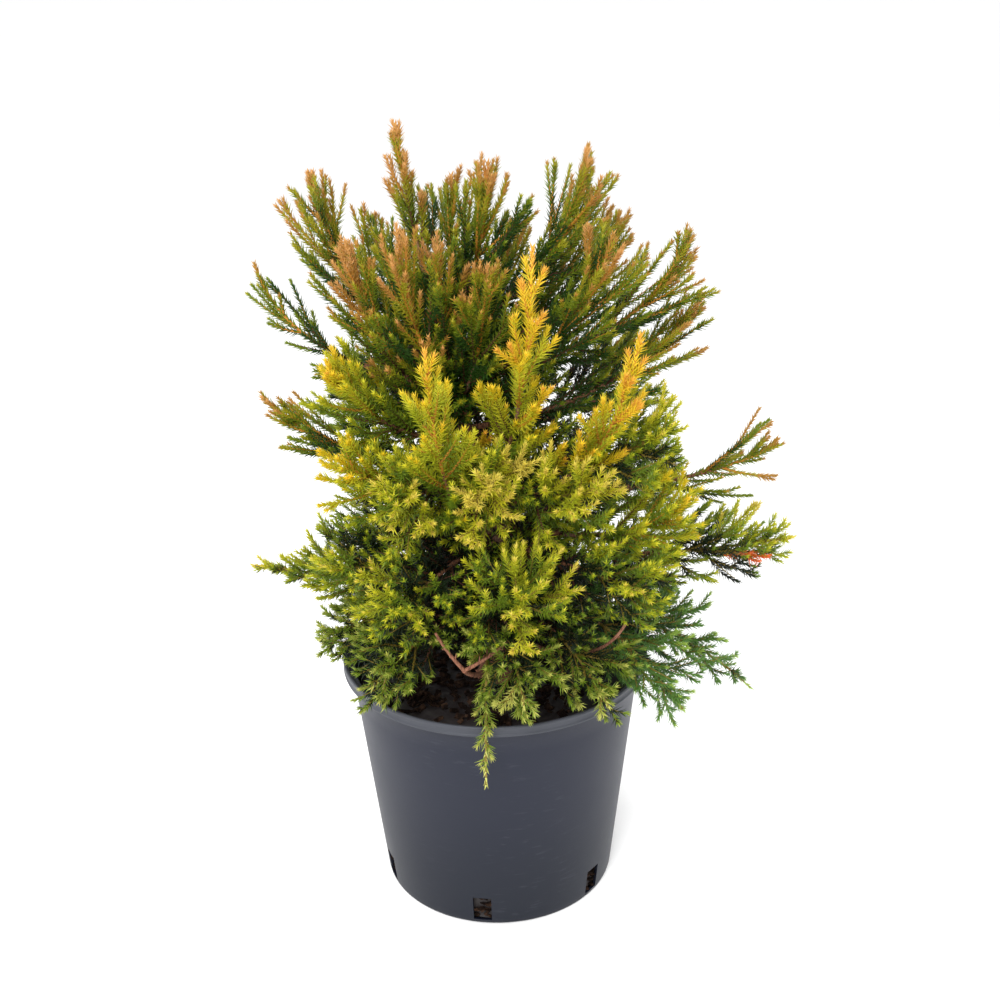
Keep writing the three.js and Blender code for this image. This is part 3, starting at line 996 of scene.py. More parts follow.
@dataclass(frozen=True)
class Growth:
    """How one habit of limb carries the source's rule on to finer twigs, in millimetres and degrees.

    Pace is the way from one shoot to the next. Needle, lean and density are the length of a needle, the
    degrees that it leans from its twig, and the needles to a millimetre. The first number of a pair
    holds in the shade or at the foot of a twig, and the second in the light or at its tip.
    """

    laterals: int
    spread: float
    pace: float
    shoot: float
    shoot_spread: float
    shoot_rise: float
    needle: Span
    lean: Span
    density: Span


class Habit(Enum):
    """The ways in which this plant's limbs grow."""

    STUBBY = Growth(
        laterals=15, spread=46.0, pace=8.8, shoot=40.0, shoot_spread=36.0, shoot_rise=0.26,
        needle=(9.0, 8.6), lean=(50.0, 22.0), density=(0.36, 1.55),
    )
    PLUME = Growth(
        laterals=12, spread=23.0, pace=18.5, shoot=46.0, shoot_spread=22.0, shoot_rise=0.1,
        needle=(9.0, 7.6), lean=(46.0, 26.0), density=(0.8, 1.6),
    )
    SLENDER = Growth(
        laterals=4, spread=26.0, pace=24.0, shoot=40.0, shoot_spread=26.0, shoot_rise=0.1,
        needle=(8.0, 6.6), lean=(46.0, 28.0), density=(0.8, 1.9),
    )
    SPRAY = Growth(
        laterals=16, spread=34.0, pace=24.0, shoot=28.0, shoot_spread=32.0, shoot_rise=0.12,
        needle=(10.0, 10.0), lean=(44.0, 26.0), density=(0.9, 1.9),
    )


# A limb's radius where its bough begins and where its stem does.
BOUGH_RADIUS = 4.3
JOIN_RADIUS = 2.6

# How a mass narrows to its tip: the power of what is left of its stem that its laterals' length follows.
DOME = 0.3
CREST = 0.45
PLUME = 0.7
FAN = 1.2
WHIP = 1.7


@dataclass(frozen=True)
class Tier:
    """Limbs that leave the trunk one above the other, with the shares that shape them.

    A limb is its name, azimuth in degrees, reach, tip height, half width and taper.
    """

    habit: Habit
    springs: Span
    out: float
    lift: float
    arch: float
    leafy: float
    laterals: int
    limbs: tuple[tuple[str, float, float, float, float, float], ...]


TIERS = (
    Tier(
        Habit.STUBBY, springs=(238, 290), out=0.55, lift=0.1, arch=40, leafy=0.22, laterals=5,
        limbs=(
            ("low_back_left", 148, 172, 246, 56, DOME),
            ("low_right_back", 30, 196, 240, 56, DOME),
            ("low_left", -170, 160, 254, 50, DOME),
            ("low_back", 72, 178, 244, 56, DOME),
            ("low_front_left", -128, 166, 262, 50, DOME),
            ("low_right", -4, 236, 189, 50, PLUME),
            ("low_left_back", 112, 174, 242, 56, DOME),
            ("low_front_right", -57, 172, 248, 52, DOME),
            ("low_front", -82, 168, 262, 52, DOME),
            ("low_right_front", -32, 190, 218, 50, DOME),
            ("drooping_shoot", -93, 171, 192, 18, PLUME),
        ),
    ),
    Tier(
        Habit.STUBBY, springs=(296, 348), out=0.6, lift=0.08, arch=4, leafy=0.24, laterals=5,
        limbs=(
            ("belly_left", -178, 215, 320, 46, WHIP),
            ("belly_back", 98, 176, 346, 58, DOME),
            ("belly_front", -82, 182, 370, 56, DOME),
            ("belly_back_left", 140, 170, 340, 58, DOME),
            ("belly_right", -9, 263, 352, 50, PLUME),
            ("belly_front_left", -148, 168, 356, 54, DOME),
            ("belly_back_right", 58, 186, 346, 58, DOME),
            ("belly_front_middle", -119, 176, 338, 54, DOME),
            ("belly_front_right", -50, 202, 356, 54, DOME),
            ("belly_right_back", 28, 196, 372, 56, DOME),
        ),
    ),
    Tier(
        Habit.SPRAY, springs=(352, 392), out=0.84, lift=0.16, arch=0, leafy=0.3, laterals=6,
        limbs=(
            ("right_spray", -36, 194, 420, 46, CREST),
            ("gold_front_left", -106, 164, 558, 42, PLUME),
            ("right_plume", 2, 252, 424, 46, CREST),
            ("gold_right", -52, 184, 564, 32, PLUME),
            ("gold_middle", -75, 135, 627, 36, PLUME),
        ),
    ),
    Tier(
        Habit.STUBBY, springs=(398, 442), out=0.7, lift=0.14, arch=0, leafy=0.24, laterals=5,
        limbs=(
            ("flank_front_left", -140, 158, 456, 54, DOME),
            ("flank_front_middle", -60, 172, 446, 56, DOME),
            ("flank_left", -174, 192, 481, 46, WHIP),
            ("flank_front", -119, 160, 436, 54, DOME),
            ("flank_front_right", -38, 182, 482, 52, DOME),
            ("flank_front_centre", -90, 160, 452, 56, DOME),
            ("flank_back", 80, 168, 480, 56, DOME),
            ("flank_right_back", 36, 180, 482, 54, DOME),
            ("flank_back_left", 120, 160, 478, 56, DOME),
            ("shoulder_left", -150, 148, 528, 54, DOME),
            ("flank_left_back", 156, 156, 482, 52, DOME),
            ("flank_right", 6, 184, 549, 44, PLUME),
        ),
    ),
    Tier(
        Habit.PLUME, springs=(446, 478), out=0.75, lift=0.3, arch=0, leafy=0.14, laterals=5,
        limbs=(
            ("brown_left", -149, 126, 621, 46, CREST),
            ("heart_left", -127, 110, 632, 40, CREST),
            ("heart_front", -118, 78, 616, 52, CREST),
            ("brown_right", -33, 118, 622, 48, CREST),
            ("heart_middle", -89, 92, 606, 46, CREST),
            ("heart_back", 76, 92, 604, 54, DOME),
            ("heart_right", 22, 96, 640, 50, CREST),
        ),
    ),
    Tier(
        Habit.PLUME, springs=(482, 538), out=0.88, lift=0.2, arch=0, leafy=0.2, laterals=6,
        limbs=(
            ("fan_left", -178, 190, 592, 38, FAN),
            ("crest_far_right", -2, 167, 610, 46, CREST),
            ("crest_back_right", 38, 150, 608, 50, CREST),
            ("crest_left", 180, 138, 664, 44, CREST),
            ("crest_back_left", 138, 132, 612, 52, CREST),
            ("crest_back", 112, 76, 648, 46, CREST),
            ("crest_right", -10, 84, 679, 44, CREST),
            ("crest_middle", -84, 34, 674, 42, CREST),
        ),
    ),
)


def curve(foot: Array, middle: Array, tip: Array, share: Array) -> Array:
    """The points (1-s)^2 foot + 2 s (1-s) middle + s^2 tip of quadratic curves, for each share s."""
    s = share[..., None]
    return (1 - s) ** 2 * foot + 2 * s * (1 - s) * middle + s * s * tip


def heading(foot: Array, middle: Array, tip: Array, share: Array) -> Array:
    """The directions of those curves: (1-s) (middle - foot) + s (tip - middle), made one long."""
    s = share[..., None]
    return unit((1 - s) * (middle - foot) + s * (tip - middle))


@dataclass
class Twigs:
    """Many quadratic curves at once, and what each of them carries.

    Owner is the place of its limb in the list of limbs, rank 0 for a stem, 1 for a lateral and 2 for a
    shoot, outward how far out on its limb it starts, and thick and thin its radius at foot and tip.
    """

    foot: Array
    middle: Array
    tip: Array
    owner: Array
    rank: Array
    outward: Array
    spray: Array
    thick: Array
    thin: Array

    def __len__(self) -> int:
        """How many curves there are."""
        return len(self.owner)

    def take(self, keep: Array) -> "Twigs":
        """The curves that a mask or a list of indices picks."""
        return Twigs(**{name: values[keep] for name, values in self.__dict__.items()})

    @staticmethod
    def alike(
        foot: Array, middle: Array, tip: Array, owner: Array, rank: int, outward: Array, spray: Array,
        radii: Span,
    ) -> "Twigs":
        """Curves that all have the same rank and the same radii at foot and tip."""
        ends = [np.full(len(owner), radius) for radius in radii]
        return Twigs(foot, middle, tip, owner, np.full(len(owner), rank), outward, spray, *ends)

    @staticmethod
    def joined(parts: list["Twigs"]) -> "Twigs":
        """All the curves of several lots."""
        names = parts[0].__dict__
        return Twigs(**{name: np.concatenate([part.__dict__[name] for part in parts]) for name in names})

    def at(self, which: Array, share: Array) -> Array:
        """Points at shares of the curves that which names."""
        return curve(self.foot[which], self.middle[which], self.tip[which], share)

    def along(self, which: Array, share: Array) -> Array:
        """Directions at shares of the curves that which names."""
        return heading(self.foot[which], self.middle[which], self.tip[which], share)

    def lengths(self) -> Array:
        """About how long each curve is: the mean of its chord and of its two legs."""
        legs = (self.middle - self.foot, self.tip - self.middle, self.tip - self.foot)
        return sum(np.linalg.norm(leg, axis=1) for leg in legs) / 2

    def tubes(self, start: Array, end: Array, rings: int, sides: int) -> Shape:
        """Closed tubes round a stretch of each curve.

        A corner is the curve's point plus its radius times cos a and sin a along two directions that
        stand square on the curve. The radius goes straight from thick at share 0 to thin at share 1.

        Args:
            start: Share of each curve at which its tube begins.
            end: Share at which it ends.
            rings: Rings of corners along a tube.
            sides: Corners in a ring.

        Returns:
            The corners, and the faces between them.
        """
        which = np.arange(len(self))[:, None]
        share = lerp(start[:, None], end[:, None], np.linspace(0, 1, rings)[None, :])
        centre, along = self.at(which, share), self.along(which, share)
        chord = unit(self.tip - self.foot)
        least = np.eye(3)[np.argmin(np.abs(chord), axis=1)][:, None, :]
        side = unit(least - dots(least, along) * along)
        over = np.cross(along, side)
        radius = lerp(self.thick[:, None], self.thin[:, None], share)[..., None, None]
        angle = np.arange(sides) * 2 * np.pi / sides
        ring = np.cos(angle)[:, None] * side[..., None, :] + np.sin(angle)[:, None] * over[..., None, :]
        corners = centre[..., None, :] + radius * ring
        size = rings * sides
        first = np.arange(len(self))[:, None, None] * size
        quads = (first + grid_faces(rings, sides, True)[None]).reshape(-1, 4)
        loop = np.arange(sides)
        root = (first[:, 0] + loop[::-1][None]).reshape(-1, sides)
        top = (first[:, 0] + (size - sides + loop)[None]).reshape(-1, sides)
        return corners.reshape(-1, 3), [quads, root, top]


@dataclass
class Limb:
    """One limb: a curve from the trunk's axis to its furthest tip, bare at first and then leafy.

    It is clear of the trunk from the share start. Its bough ends at bough_end, where it has one.
    """

    name: str
    azimuth: float
    half_width: float
    taper: float
    foot: Array
    middle: Array
    tip: Array
    leafy: float
    laterals: int
    habit: Habit
    start: float = 0.0
    bough_end: float = 0.0

    def point(self, share: float | Array) -> Array:
        """The point at a share of the limb."""
        return curve(self.foot, self.middle, self.tip, np.asarray(share, float))

    def direction(self, share: float | Array) -> Array:
        """The direction at a share of the limb."""
        return heading(self.foot, self.middle, self.tip, np.asarray(share, float))

    def across(self) -> Array:
        """The level direction square on the limb's azimuth."""
        return polar(self.azimuth + 90, 1, 0)


@dataclass
class Skeleton:
    """The limbs of all tiers and the leader, by the source's rule.

    A few limbs have a bough up to a share of their length, and a few grow otherwise than their tier.
    """

    trunk: TrunkRule
    bough_ends: tuple[tuple[str, float], ...] = (
        ("belly_left", 0.36),
        ("belly_right", 0.36),
        ("right_plume", 0.38),
    )
    core_margin: float = 0.03
    search_step: float = 0.002
    pace_step: float = 0.01
    leader_azimuth: float = 176.0
    leader_reach: float = 70.0
    leader_height: float = 699.0
    leader_half_width: float = 19.0
    leader_leafy: float = 0.06
    leader_laterals: int = 7
    leader_bend: float = 0.7
    odd_habits: tuple[tuple[str, Habit], ...] = (
        ("right_plume", Habit.SLENDER),
        ("fan_left", Habit.SLENDER),
        ("shoulder_left", Habit.SPRAY),
        ("flank_left", Habit.PLUME),
        ("flank_right", Habit.PLUME),
        ("flank_front_left", Habit.SPRAY),
    )

    def limbs(self) -> list[Limb]:
        """Every limb, in the source's order."""
        made = [self.limb(tier, order, spec) for tier in TIERS for order, spec in enumerate(tier.limbs)]
        return made + [self.leader()]

    def leaves_trunk_at(self, limb: Limb, radius: float) -> float:
        """The first share at which a limb is clear of the trunk.

        Args:
            limb: The limb.
            radius: Its radius there.

        Returns:
            The share.
        """
        shares = np.arange(0, 1, self.search_step)
        points = limb.point(shares)
        inward = radius * np.abs(limb.direction(shares)[:, 2])
        away = np.linalg.norm(points - self.trunk.axis(points[:, 2]), axis=1)
        clear = away - inward > self.trunk.radius(points[:, 2] - radius) + 2 * GAP
        return float(shares[np.argmax(clear)])

    def limb(self, tier: Tier, order: int, spec: tuple[str, float, float, float, float, float]) -> Limb:
        """A limb from its tier's shares and its own azimuth, reach, tip height and half width.

        Args:
            tier: The tier that it belongs to.
            order: Its place in the tier, from below.
            spec: What the tier says of it.

        Returns:
            The limb.
        """
        name, azimuth, reach, height, half_width, taper = spec
        spring = lerp(*tier.springs, order / (len(tier.limbs) - 1))
        foot, tip = self.trunk.axis(spring), polar(azimuth, reach, height)
        middle = lerp(foot, tip, tier.out)
        middle[2] = lerp(spring, height, tier.lift) + tier.arch
        habit = dict(self.odd_habits).get(name, tier.habit)
        limb = Limb(name, azimuth, half_width, taper, foot, middle, tip, tier.leafy, tier.laterals, habit)
        bough_end = dict(self.bough_ends).get(name, 0.0)
        stem_start = limb.start = self.leaves_trunk_at(limb, BOUGH_RADIUS if bough_end else JOIN_RADIUS)
        if bough_end:
            step = limb.point(bough_end + self.pace_step) - limb.point(bough_end)
            pace = np.linalg.norm(step) / self.pace_step
            limb.bough_end, stem_start = bough_end, bough_end + GAP / pace
        limb.leafy = max(tier.leafy, stem_start + self.core_margin)
        return limb

    def leader(self) -> Limb:
        """The leader, which carries on from the trunk's own tip.

        Returns:
            The limb.
        """
        foot = self.trunk.axis(self.trunk.top + GAP)
        tip = polar(self.leader_azimuth, self.leader_reach, self.leader_height)
        middle = lerp(foot, tip, 0.5)
        middle[0] = lerp(foot[0], tip[0], self.leader_bend)
        azimuth, half_width, leafy = self.leader_azimuth, self.leader_half_width, self.leader_leafy
        laterals, habit = self.leader_laterals, Habit.PLUME
        return Limb("leader", azimuth, half_width, PLUME, foot, middle, tip, leafy, laterals, habit)


@dataclass
class Space:
    """Each mass keeps to the points that lie nearer to its own stem than to any other."""

    limbs: list[Limb]
    trunk: TrunkRule
    pot: Pot
    leafy_samples: int = 14
    bare_samples: int = 24
    pot_gap: float = 1.0
    chunk: int = 4000

    def __post_init__(self) -> None:
        """Samples each limb's leafy stretch and its bare one."""
        leafy, bare = self.leafy_samples, self.bare_samples
        self.leafy = np.stack([limb.point(np.linspace(limb.leafy, 1, leafy)) for limb in self.limbs])
        self.bare = np.stack([limb.point(np.linspace(limb.start, limb.leafy, bare)) for limb in self.limbs])

    def room(self, owner: Array, points: Array) -> Array:
        """The radius of the largest ball round each point that its owner's space holds."""
        parts = [slice(n, n + self.chunk) for n in range(0, len(points), self.chunk)]
        return np.concatenate([self._room(owner[part], points[part]) for part in parts])

    def _room(self, owner: Array, points: Array) -> Array:
        """The least of half the lead over the nearest other stem and the way to bare limbs, trunk and pot.

        Args:
            owner: The limb that each point belongs to.
            points: The points.

        Returns:
            A length for each point.
        """
        rows = np.arange(len(points))
        to_leafy, to_bare = self._nearest(points, self.leafy), self._nearest(points, self.bare)
        lead = (to_leafy - to_leafy[rows, owner][:, None] - GAP) / 2
        clear = to_bare - BOUGH_RADIUS - 2 * GAP
        lead[rows, owner] = clear[rows, owner] = np.inf
        solids = [self.beside_trunk(points), self.beside_pot(points)]
        return np.minimum.reduce([lead.min(1), clear.min(1), *solids])

    @staticmethod
    def _nearest(points: Array, samples: Array) -> Array:
        """The distance from each point to the nearest sample of each limb.

        Args:
            points: The points.
            samples: Points along each limb.

        Returns:
            A row for each point and a column for each limb.
        """
        flat = samples.reshape(-1, 3)
        square = (points**2).sum(1)[:, None] + (flat**2).sum(1)[None] - 2 * points @ flat.T
        return np.sqrt(np.maximum(square, 0)).reshape(len(points), len(samples), -1).min(2)

    def nearest_limb(self, points: Array) -> Array:
        """The limb whose leafy stretch each point lies nearest to."""
        return self._nearest(points, self.leafy).argmin(1)

    def beside_trunk(self, points: Array) -> Array:
        """The clearance of each point from the trunk."""
        height = np.clip(points[:, 2], self.trunk.foot, self.trunk.top)
        return np.linalg.norm(self.trunk.axis(height) - points, axis=1) - self.trunk.radius(height) - 2 * GAP

    def beside_pot(self, points: Array) -> Array:
        """The clearance of each point from the pot and from the inside of it."""
        outside = np.hypot(points[:, 0], points[:, 1]) - self.pot.rim_radius
        return np.maximum(outside, points[:, 2] - self.pot.height) - self.pot_gap


# ---- Finer growth ----

# A mass's width at its foot, how soon it fills out, its full width and its width at the tip.
FOOT_WIDTH = 0.55
FILLING = 1.8
FULL_WIDTH = 1.12
TIP_WIDTH = 0.12

# Where the numbers of the sprays begin, by kind of lateral. The solids' have a hundred for each limb.
SOURCE_SPRAYS = 100
FINER_SPRAYS = 10000
INNER_SPRAYS = 20000
TRUNK_SPRAYS = 30000


def sideways(along: Array, across: Array, around: Array, spread: Array) -> Array:
    """The direction that leaves a curve by an angle around it and a spread from it.

    It is along cos(spread) + (side cos(around) + over sin(around)) sin(spread), where side is the part
    of across that stands square on the curve, and over stands square on both.

    Args:
        along: Directions of the curve.
        across: Directions that angle 0 around the curve points to.
        around: Degrees around the curve.
        spread: Degrees away from the curve.

    Returns:
        Unit directions.
    """
    side = unit(across - dots(across, along) * along)
    over = np.cross(along, side)
    turn, lean = np.radians(around)[..., None], np.radians(spread)[..., None]
    return along * np.cos(lean) + (side * np.cos(turn) + over * np.sin(turn)) * np.sin(lean)


def dealt(counts: Array) -> tuple[Array, Array]:
    """Which carrier each twig or needle is on, and its number there, for so many on each carrier."""
    which = np.repeat(np.arange(len(counts)), counts)
    return which, np.arange(len(which)) - np.repeat(np.cumsum(counts) - counts, counts)


def spiral(rng: np.random.Generator, carriers: int, which: Array, order: Array) -> Array:
    """Degrees around the carrier: a random start on each one, and then the golden angle each time."""
    return rng.uniform(0, 360, carriers)[which] + GOLDEN_ANGLE * order


def plume(share: float | Array, taper: float | Array) -> float | Array:
    """How long a lateral is: a mass fills out early and narrows to its tip by a power of what is left."""
    return np.minimum(1, FOOT_WIDTH + FILLING * share) * (1 - share) ** taper * FULL_WIDTH + TIP_WIDTH


@dataclass
class Branching:
    """The rule that puts laterals on stems and shoots on laterals, in millimetres and degrees.

    Within is the part of its own stretch that a twig may stand in, luck is how far a value is thrown
    about, closing how much less a twig at the tip spreads than one at the foot, and radii are those at
    the foot and at the tip. The trims are tried in turn until a twig keeps to its space.
    """

    limbs: list[Limb]
    space: Space
    within: Span = (0.2, 0.8)
    last: float = 0.88
    spread: float = 41.0
    spread_luck: float = 6.0
    closing: float = 8.0
    length_luck: Span = (0.85, 1.15)
    belly_radius: float = 8.0
    belly_fill: float = 0.9
    thinnest: float = 2.0
    probes: tuple[float, ...] = (0.5, 0.3, 0.75, 0.88, 1.0)
    forward: float = 0.16
    rise: float = 0.1
    trims: tuple[float, ...] = (1.0, 0.85, 0.7, 0.55, 0.4)
    slack: float = 3.0
    stem_radii: Span = (2.6, 0.7)
    source_radii: Span = (1.5, 0.6)
    finer_radii: Span = (1.4, 0.55)
    inner_radii: Span = (1.3, 0.52)
    shoot_radii: Span = (0.75, 0.35)
    finer_before: float = 0.05
    finer_last: float = 0.96
    finer_luck: Span = (0.8, 1.15)
    finer_longest: float = 86.0
    inner_count: int = 10
    inner_first: float = 0.25
    inner_spread: Span = (35.0, 65.0)
    inner_length: Span = (30.0, 64.0)
    inner_outward: float = 0.5
    inner_clearance: Span = (1.0, 4.0)
    trunk_count: int = 48
    trunk_stretch: Span = (310.0, 540.0)
    trunk_sunk: float = 0.8
    trunk_lift: float = 0.3
    trunk_length: Span = (50.0, 84.0)
    trunk_outward: float = 0.3
    shoot_within: Span = (0.15, 0.85)
    shoot_last: float = 0.95
    shoot_turn_luck: float = 0.35
    shoot_spread_luck: float = 7.0
    shoot_luck: Span = (0.7, 1.2)
    shoot_limit: float = 0.62
    shoot_least: float = 6.0
    shoot_outward: float = 0.5

    def bend(self, foot: Array, along: Array, out: Array, length: Array, rise: Array) -> tuple[Array, Array]:
        """The middle and tip of twigs that bend towards their stem's tip and upwards.

        The middle is half the length out from the foot. The tip has a share forward of the length along
        the stem and the rest outwards, and then a share rise of the length upwards.

        Args:
            foot: Where each twig starts.
            along: The direction of its stem there.
            out: The direction in which it leaves.
            length: Its length.
            rise: How far its tip bends upwards, as a share of its length.

        Returns:
            The middles and the tips.
        """
        reach = length[:, None]
        middle = foot + out * reach * 0.5
        tip = foot + out * reach * (1 - self.forward) + along * reach * self.forward
        return middle, tip + np.array([0, 0, 1.0]) * reach * rise[:, None]

    def values(self, name: str) -> Array:
        """That value of every limb."""
        return np.array([getattr(limb, name) for limb in self.limbs])

    def habit_values(self, *names: str) -> list[Array]:
        """For each name, that value of every limb's habit."""
        return [np.array([getattr(limb.habit.value, name) for limb in self.limbs]) for name in names]

    def across(self) -> Array:
        """The level direction square on every limb's azimuth."""
        return np.stack([limb.across() for limb in self.limbs])

    def stems(self) -> Twigs:
        """The leafy stems of all limbs."""
        curves, owner = [self.values(name) for name in ("foot", "middle", "tip")], np.arange(len(self.limbs))
        return Twigs.alike(*curves, owner, 0, np.zeros(len(owner)), owner, self.stem_radii)

    def laterals(self) -> Twigs:
        """All laterals: the solids', those between them, those inside and those on the trunk."""
        lots = [self.source_laterals(), self.finer_laterals(), self.inner_laterals(), self.trunk_laterals()]
        return Twigs.joined(lots)

    def source_laterals(self) -> Twigs:
        """The same laterals as the solids have, found by the same throws of the dice."""
        lots = [self.laterals_of(owner, limb) for owner, limb in enumerate(self.limbs)]
        return Twigs.joined([lateral for lot in lots for lateral in lot])

    def laterals_of(self, owner: int, limb: Limb) -> list[Twigs]:
        """The laterals of one limb's stem that stay within its space.

        Args:
            owner: The limb's place in the list of limbs.
            limb: The limb.

        Returns:
            The laterals, each on its own.
        """
        dice = Dice(owner + 1)
        turn = dice.between(0, 360)
        widest = math.sin(math.radians(self.spread))
        made = []
        for n in range(limb.laterals):
            share = (n + dice.between(*self.within)) / limb.laterals
            on_stem = lerp(limb.leafy, self.last, share)
            spread = self.spread + dice.between(-self.spread_luck, self.spread_luck) - self.closing * share
            foot, along = limb.point([on_stem]), limb.direction([on_stem])
            around = np.array([turn + GOLDEN_ANGLE * n])
            out = sideways(along, limb.across()[None], around, np.array([spread]))
            full = limb.half_width * plume(share, limb.taper) * dice.between(*self.length_luck) / widest
            for trim in self.trims:
                middle, tip = self.bend(foot, along, out, np.array([full * trim]), np.array([self.rise]))
                spray = np.array([SOURCE_SPRAYS * (owner + 1) + n])
                outward = np.array([on_stem])
                twig = Twigs.alike(foot, middle, tip, np.array([owner]), 1, outward, spray, self.source_radii)
                if self.keeps_to_space(limb, owner, twig):
                    made.append(twig)
                    # The solids' own needles are turned by one more throw.
                    dice.between(0, 360)
                    break
        return made

    def keeps_to_space(self, limb: Limb, owner: int, twig: Twigs) -> bool:
        """Whether one lateral has room for its belly and lies no further out than its limb's tip.

        Args:
            limb: The limb that carries it.
            owner: The limb's place in the list of limbs.
            twig: The lateral.

        Returns:
            True where it fits.
        """
        at = np.array(self.probes)
        room = self.space.room(np.full(len(at), owner), twig.at(np.zeros(len(at), int), at))
        belly = min(self.belly_radius, self.belly_fill * room[0])
        inside = np.linalg.norm(twig.tip[0] - limb.foot) < np.linalg.norm(limb.tip - limb.foot)
        return bool(belly >= self.thinnest and inside and np.all(room[1:] > belly * (1 - at[1:])))

    def finer_laterals(self) -> Twigs:
        """More laterals between the source's, by the same rule and each habit's own spread.

        Returns:
            The laterals.
        """
        rng = np.random.default_rng(Seed.FINER_LATERALS)
        counts, spreads = self.habit_values("laterals", "spread")
        owner, order = dealt(counts)
        share = (order + rng.uniform(*self.within, len(order))) / counts[owner]
        on_stem = lerp(self.values("leafy")[owner] - self.finer_before, self.finer_last, share)
        stems = self.stems()
        foot, along = stems.at(owner, on_stem), stems.along(owner, on_stem)
        spread = spreads[owner] + rng.uniform(-self.spread_luck, self.spread_luck, len(order))
        around = spiral(rng, len(self.limbs), owner, order)
        out = sideways(along, self.across()[owner], around, spread - self.closing * share)
        width = self.values("half_width")[owner] * plume(share, self.values("taper")[owner])
        full = width * rng.uniform(*self.finer_luck, len(order)) / np.sin(np.radians(spreads[owner]))
        spray, rise = FINER_SPRAYS + np.arange(len(owner)), np.full(len(owner), self.rise)
        start = Twigs.alike(foot, along, out, owner, 1, on_stem, spray, self.finer_radii)
        return self.fitted(start, np.minimum(full, self.finer_longest), rise)

    def inner_laterals(self) -> Twigs:
        """Short laterals on the bare stretch of every limb, which fill the shade inside the crown.

        Returns:
            The laterals.
        """
        rng = np.random.default_rng(Seed.INNER_LATERALS)
        owner, order = dealt(np.full(len(self.limbs), self.inner_count))
        share = (order + rng.uniform(*self.within, len(order))) / self.inner_count
        leafy = self.values("leafy")[owner]
        on_stem = lerp(self.inner_first * leafy, leafy, share)
        stems = self.stems()
        foot, along = stems.at(owner, on_stem), stems.along(owner, on_stem)
        around = spiral(rng, len(self.limbs), owner, order)
        out = sideways(along, self.across()[owner], around, rng.uniform(*self.inner_spread, len(order)))
        length, rise = rng.uniform(*self.inner_length, len(order)), np.full(len(order), self.rise)
        middle, tip = self.bend(foot, along, out, length, rise)
        outward, spray = self.inner_outward * on_stem, INNER_SPRAYS + owner
        made = Twigs.alike(foot, middle, tip, owner, 1, outward, spray, self.inner_radii)
        to_trunk, to_pot = self.inner_clearance
        return made.take((self.space.beside_trunk(tip) > to_trunk) & (self.space.beside_pot(tip) > to_pot))

    def trunk_laterals(self) -> Twigs:
        """Leafy twigs from the trunk itself, which close the shade between the tiers.

        Returns:
            The twigs, each belonging to the limb that its tip lies nearest to.
        """
        rng = np.random.default_rng(Seed.TRUNK_LATERALS)
        count, trunk = self.trunk_count, self.space.trunk
        order = np.arange(count)
        height = lerp(*self.trunk_stretch, (order + rng.uniform(*self.within, count)) / count)
        turn = np.radians(GOLDEN_ANGLE * order)
        level = np.stack([np.cos(turn), np.sin(turn), np.zeros(count)], axis=1)
        up = np.broadcast_to([0.0, 0.0, 1.0], level.shape)
        foot = trunk.axis(height) + level * (self.trunk_sunk * trunk.radius(height))[:, None]
        length, rise = rng.uniform(*self.trunk_length, count), np.full(count, self.rise)
        middle, tip = self.bend(foot, up, unit(level + self.trunk_lift * up), length, rise)
        owner, outward = self.space.nearest_limb(tip), np.full(count, self.trunk_outward)
        return Twigs.alike(foot, middle, tip, owner, 1, outward, TRUNK_SPRAYS + order, self.inner_radii)

    def fitted(self, start: Twigs, full: Array, rise: Array) -> Twigs:
        """Twigs trimmed until they stay in their owner's space, and skipped where none does.

        Args:
            start: The twigs, with the direction of the stem at each foot in the place of the middle,
                and the direction in which the twig leaves in the place of the tip.
            full: Their whole length.
            rise: How far each tip bends upwards, as a share of its length.

        Returns:
            The twigs that fit.
        """
        kept, waiting = [], np.arange(len(start))
        for trim in self.trims:
            if not len(waiting):
                break
            tried = start.take(waiting)
            middle, tip = self.bend(tried.foot, tried.middle, tried.tip, full[waiting] * trim, rise[waiting])
            tried.middle, tried.tip = middle, tip
            room = np.minimum(
                self.space.room(tried.owner, tip),
                self.space.room(tried.owner, (middle + tip) / 2),
            )
            fits = (room > -self.slack) & (self.beyond(tried.owner, tip) < self.slack)
            kept.append(tried.take(fits))
            waiting = waiting[~fits]
        return Twigs.joined(kept)

    def beyond(self, owner: Array, points: Array) -> Array:
        """How much further each point lies from the foot of its limb than the limb's own tip does."""
        reach = np.array([np.linalg.norm(limb.tip - limb.foot) for limb in self.limbs])
        return np.linalg.norm(points - self.values("foot")[owner], axis=1) - reach[owner]

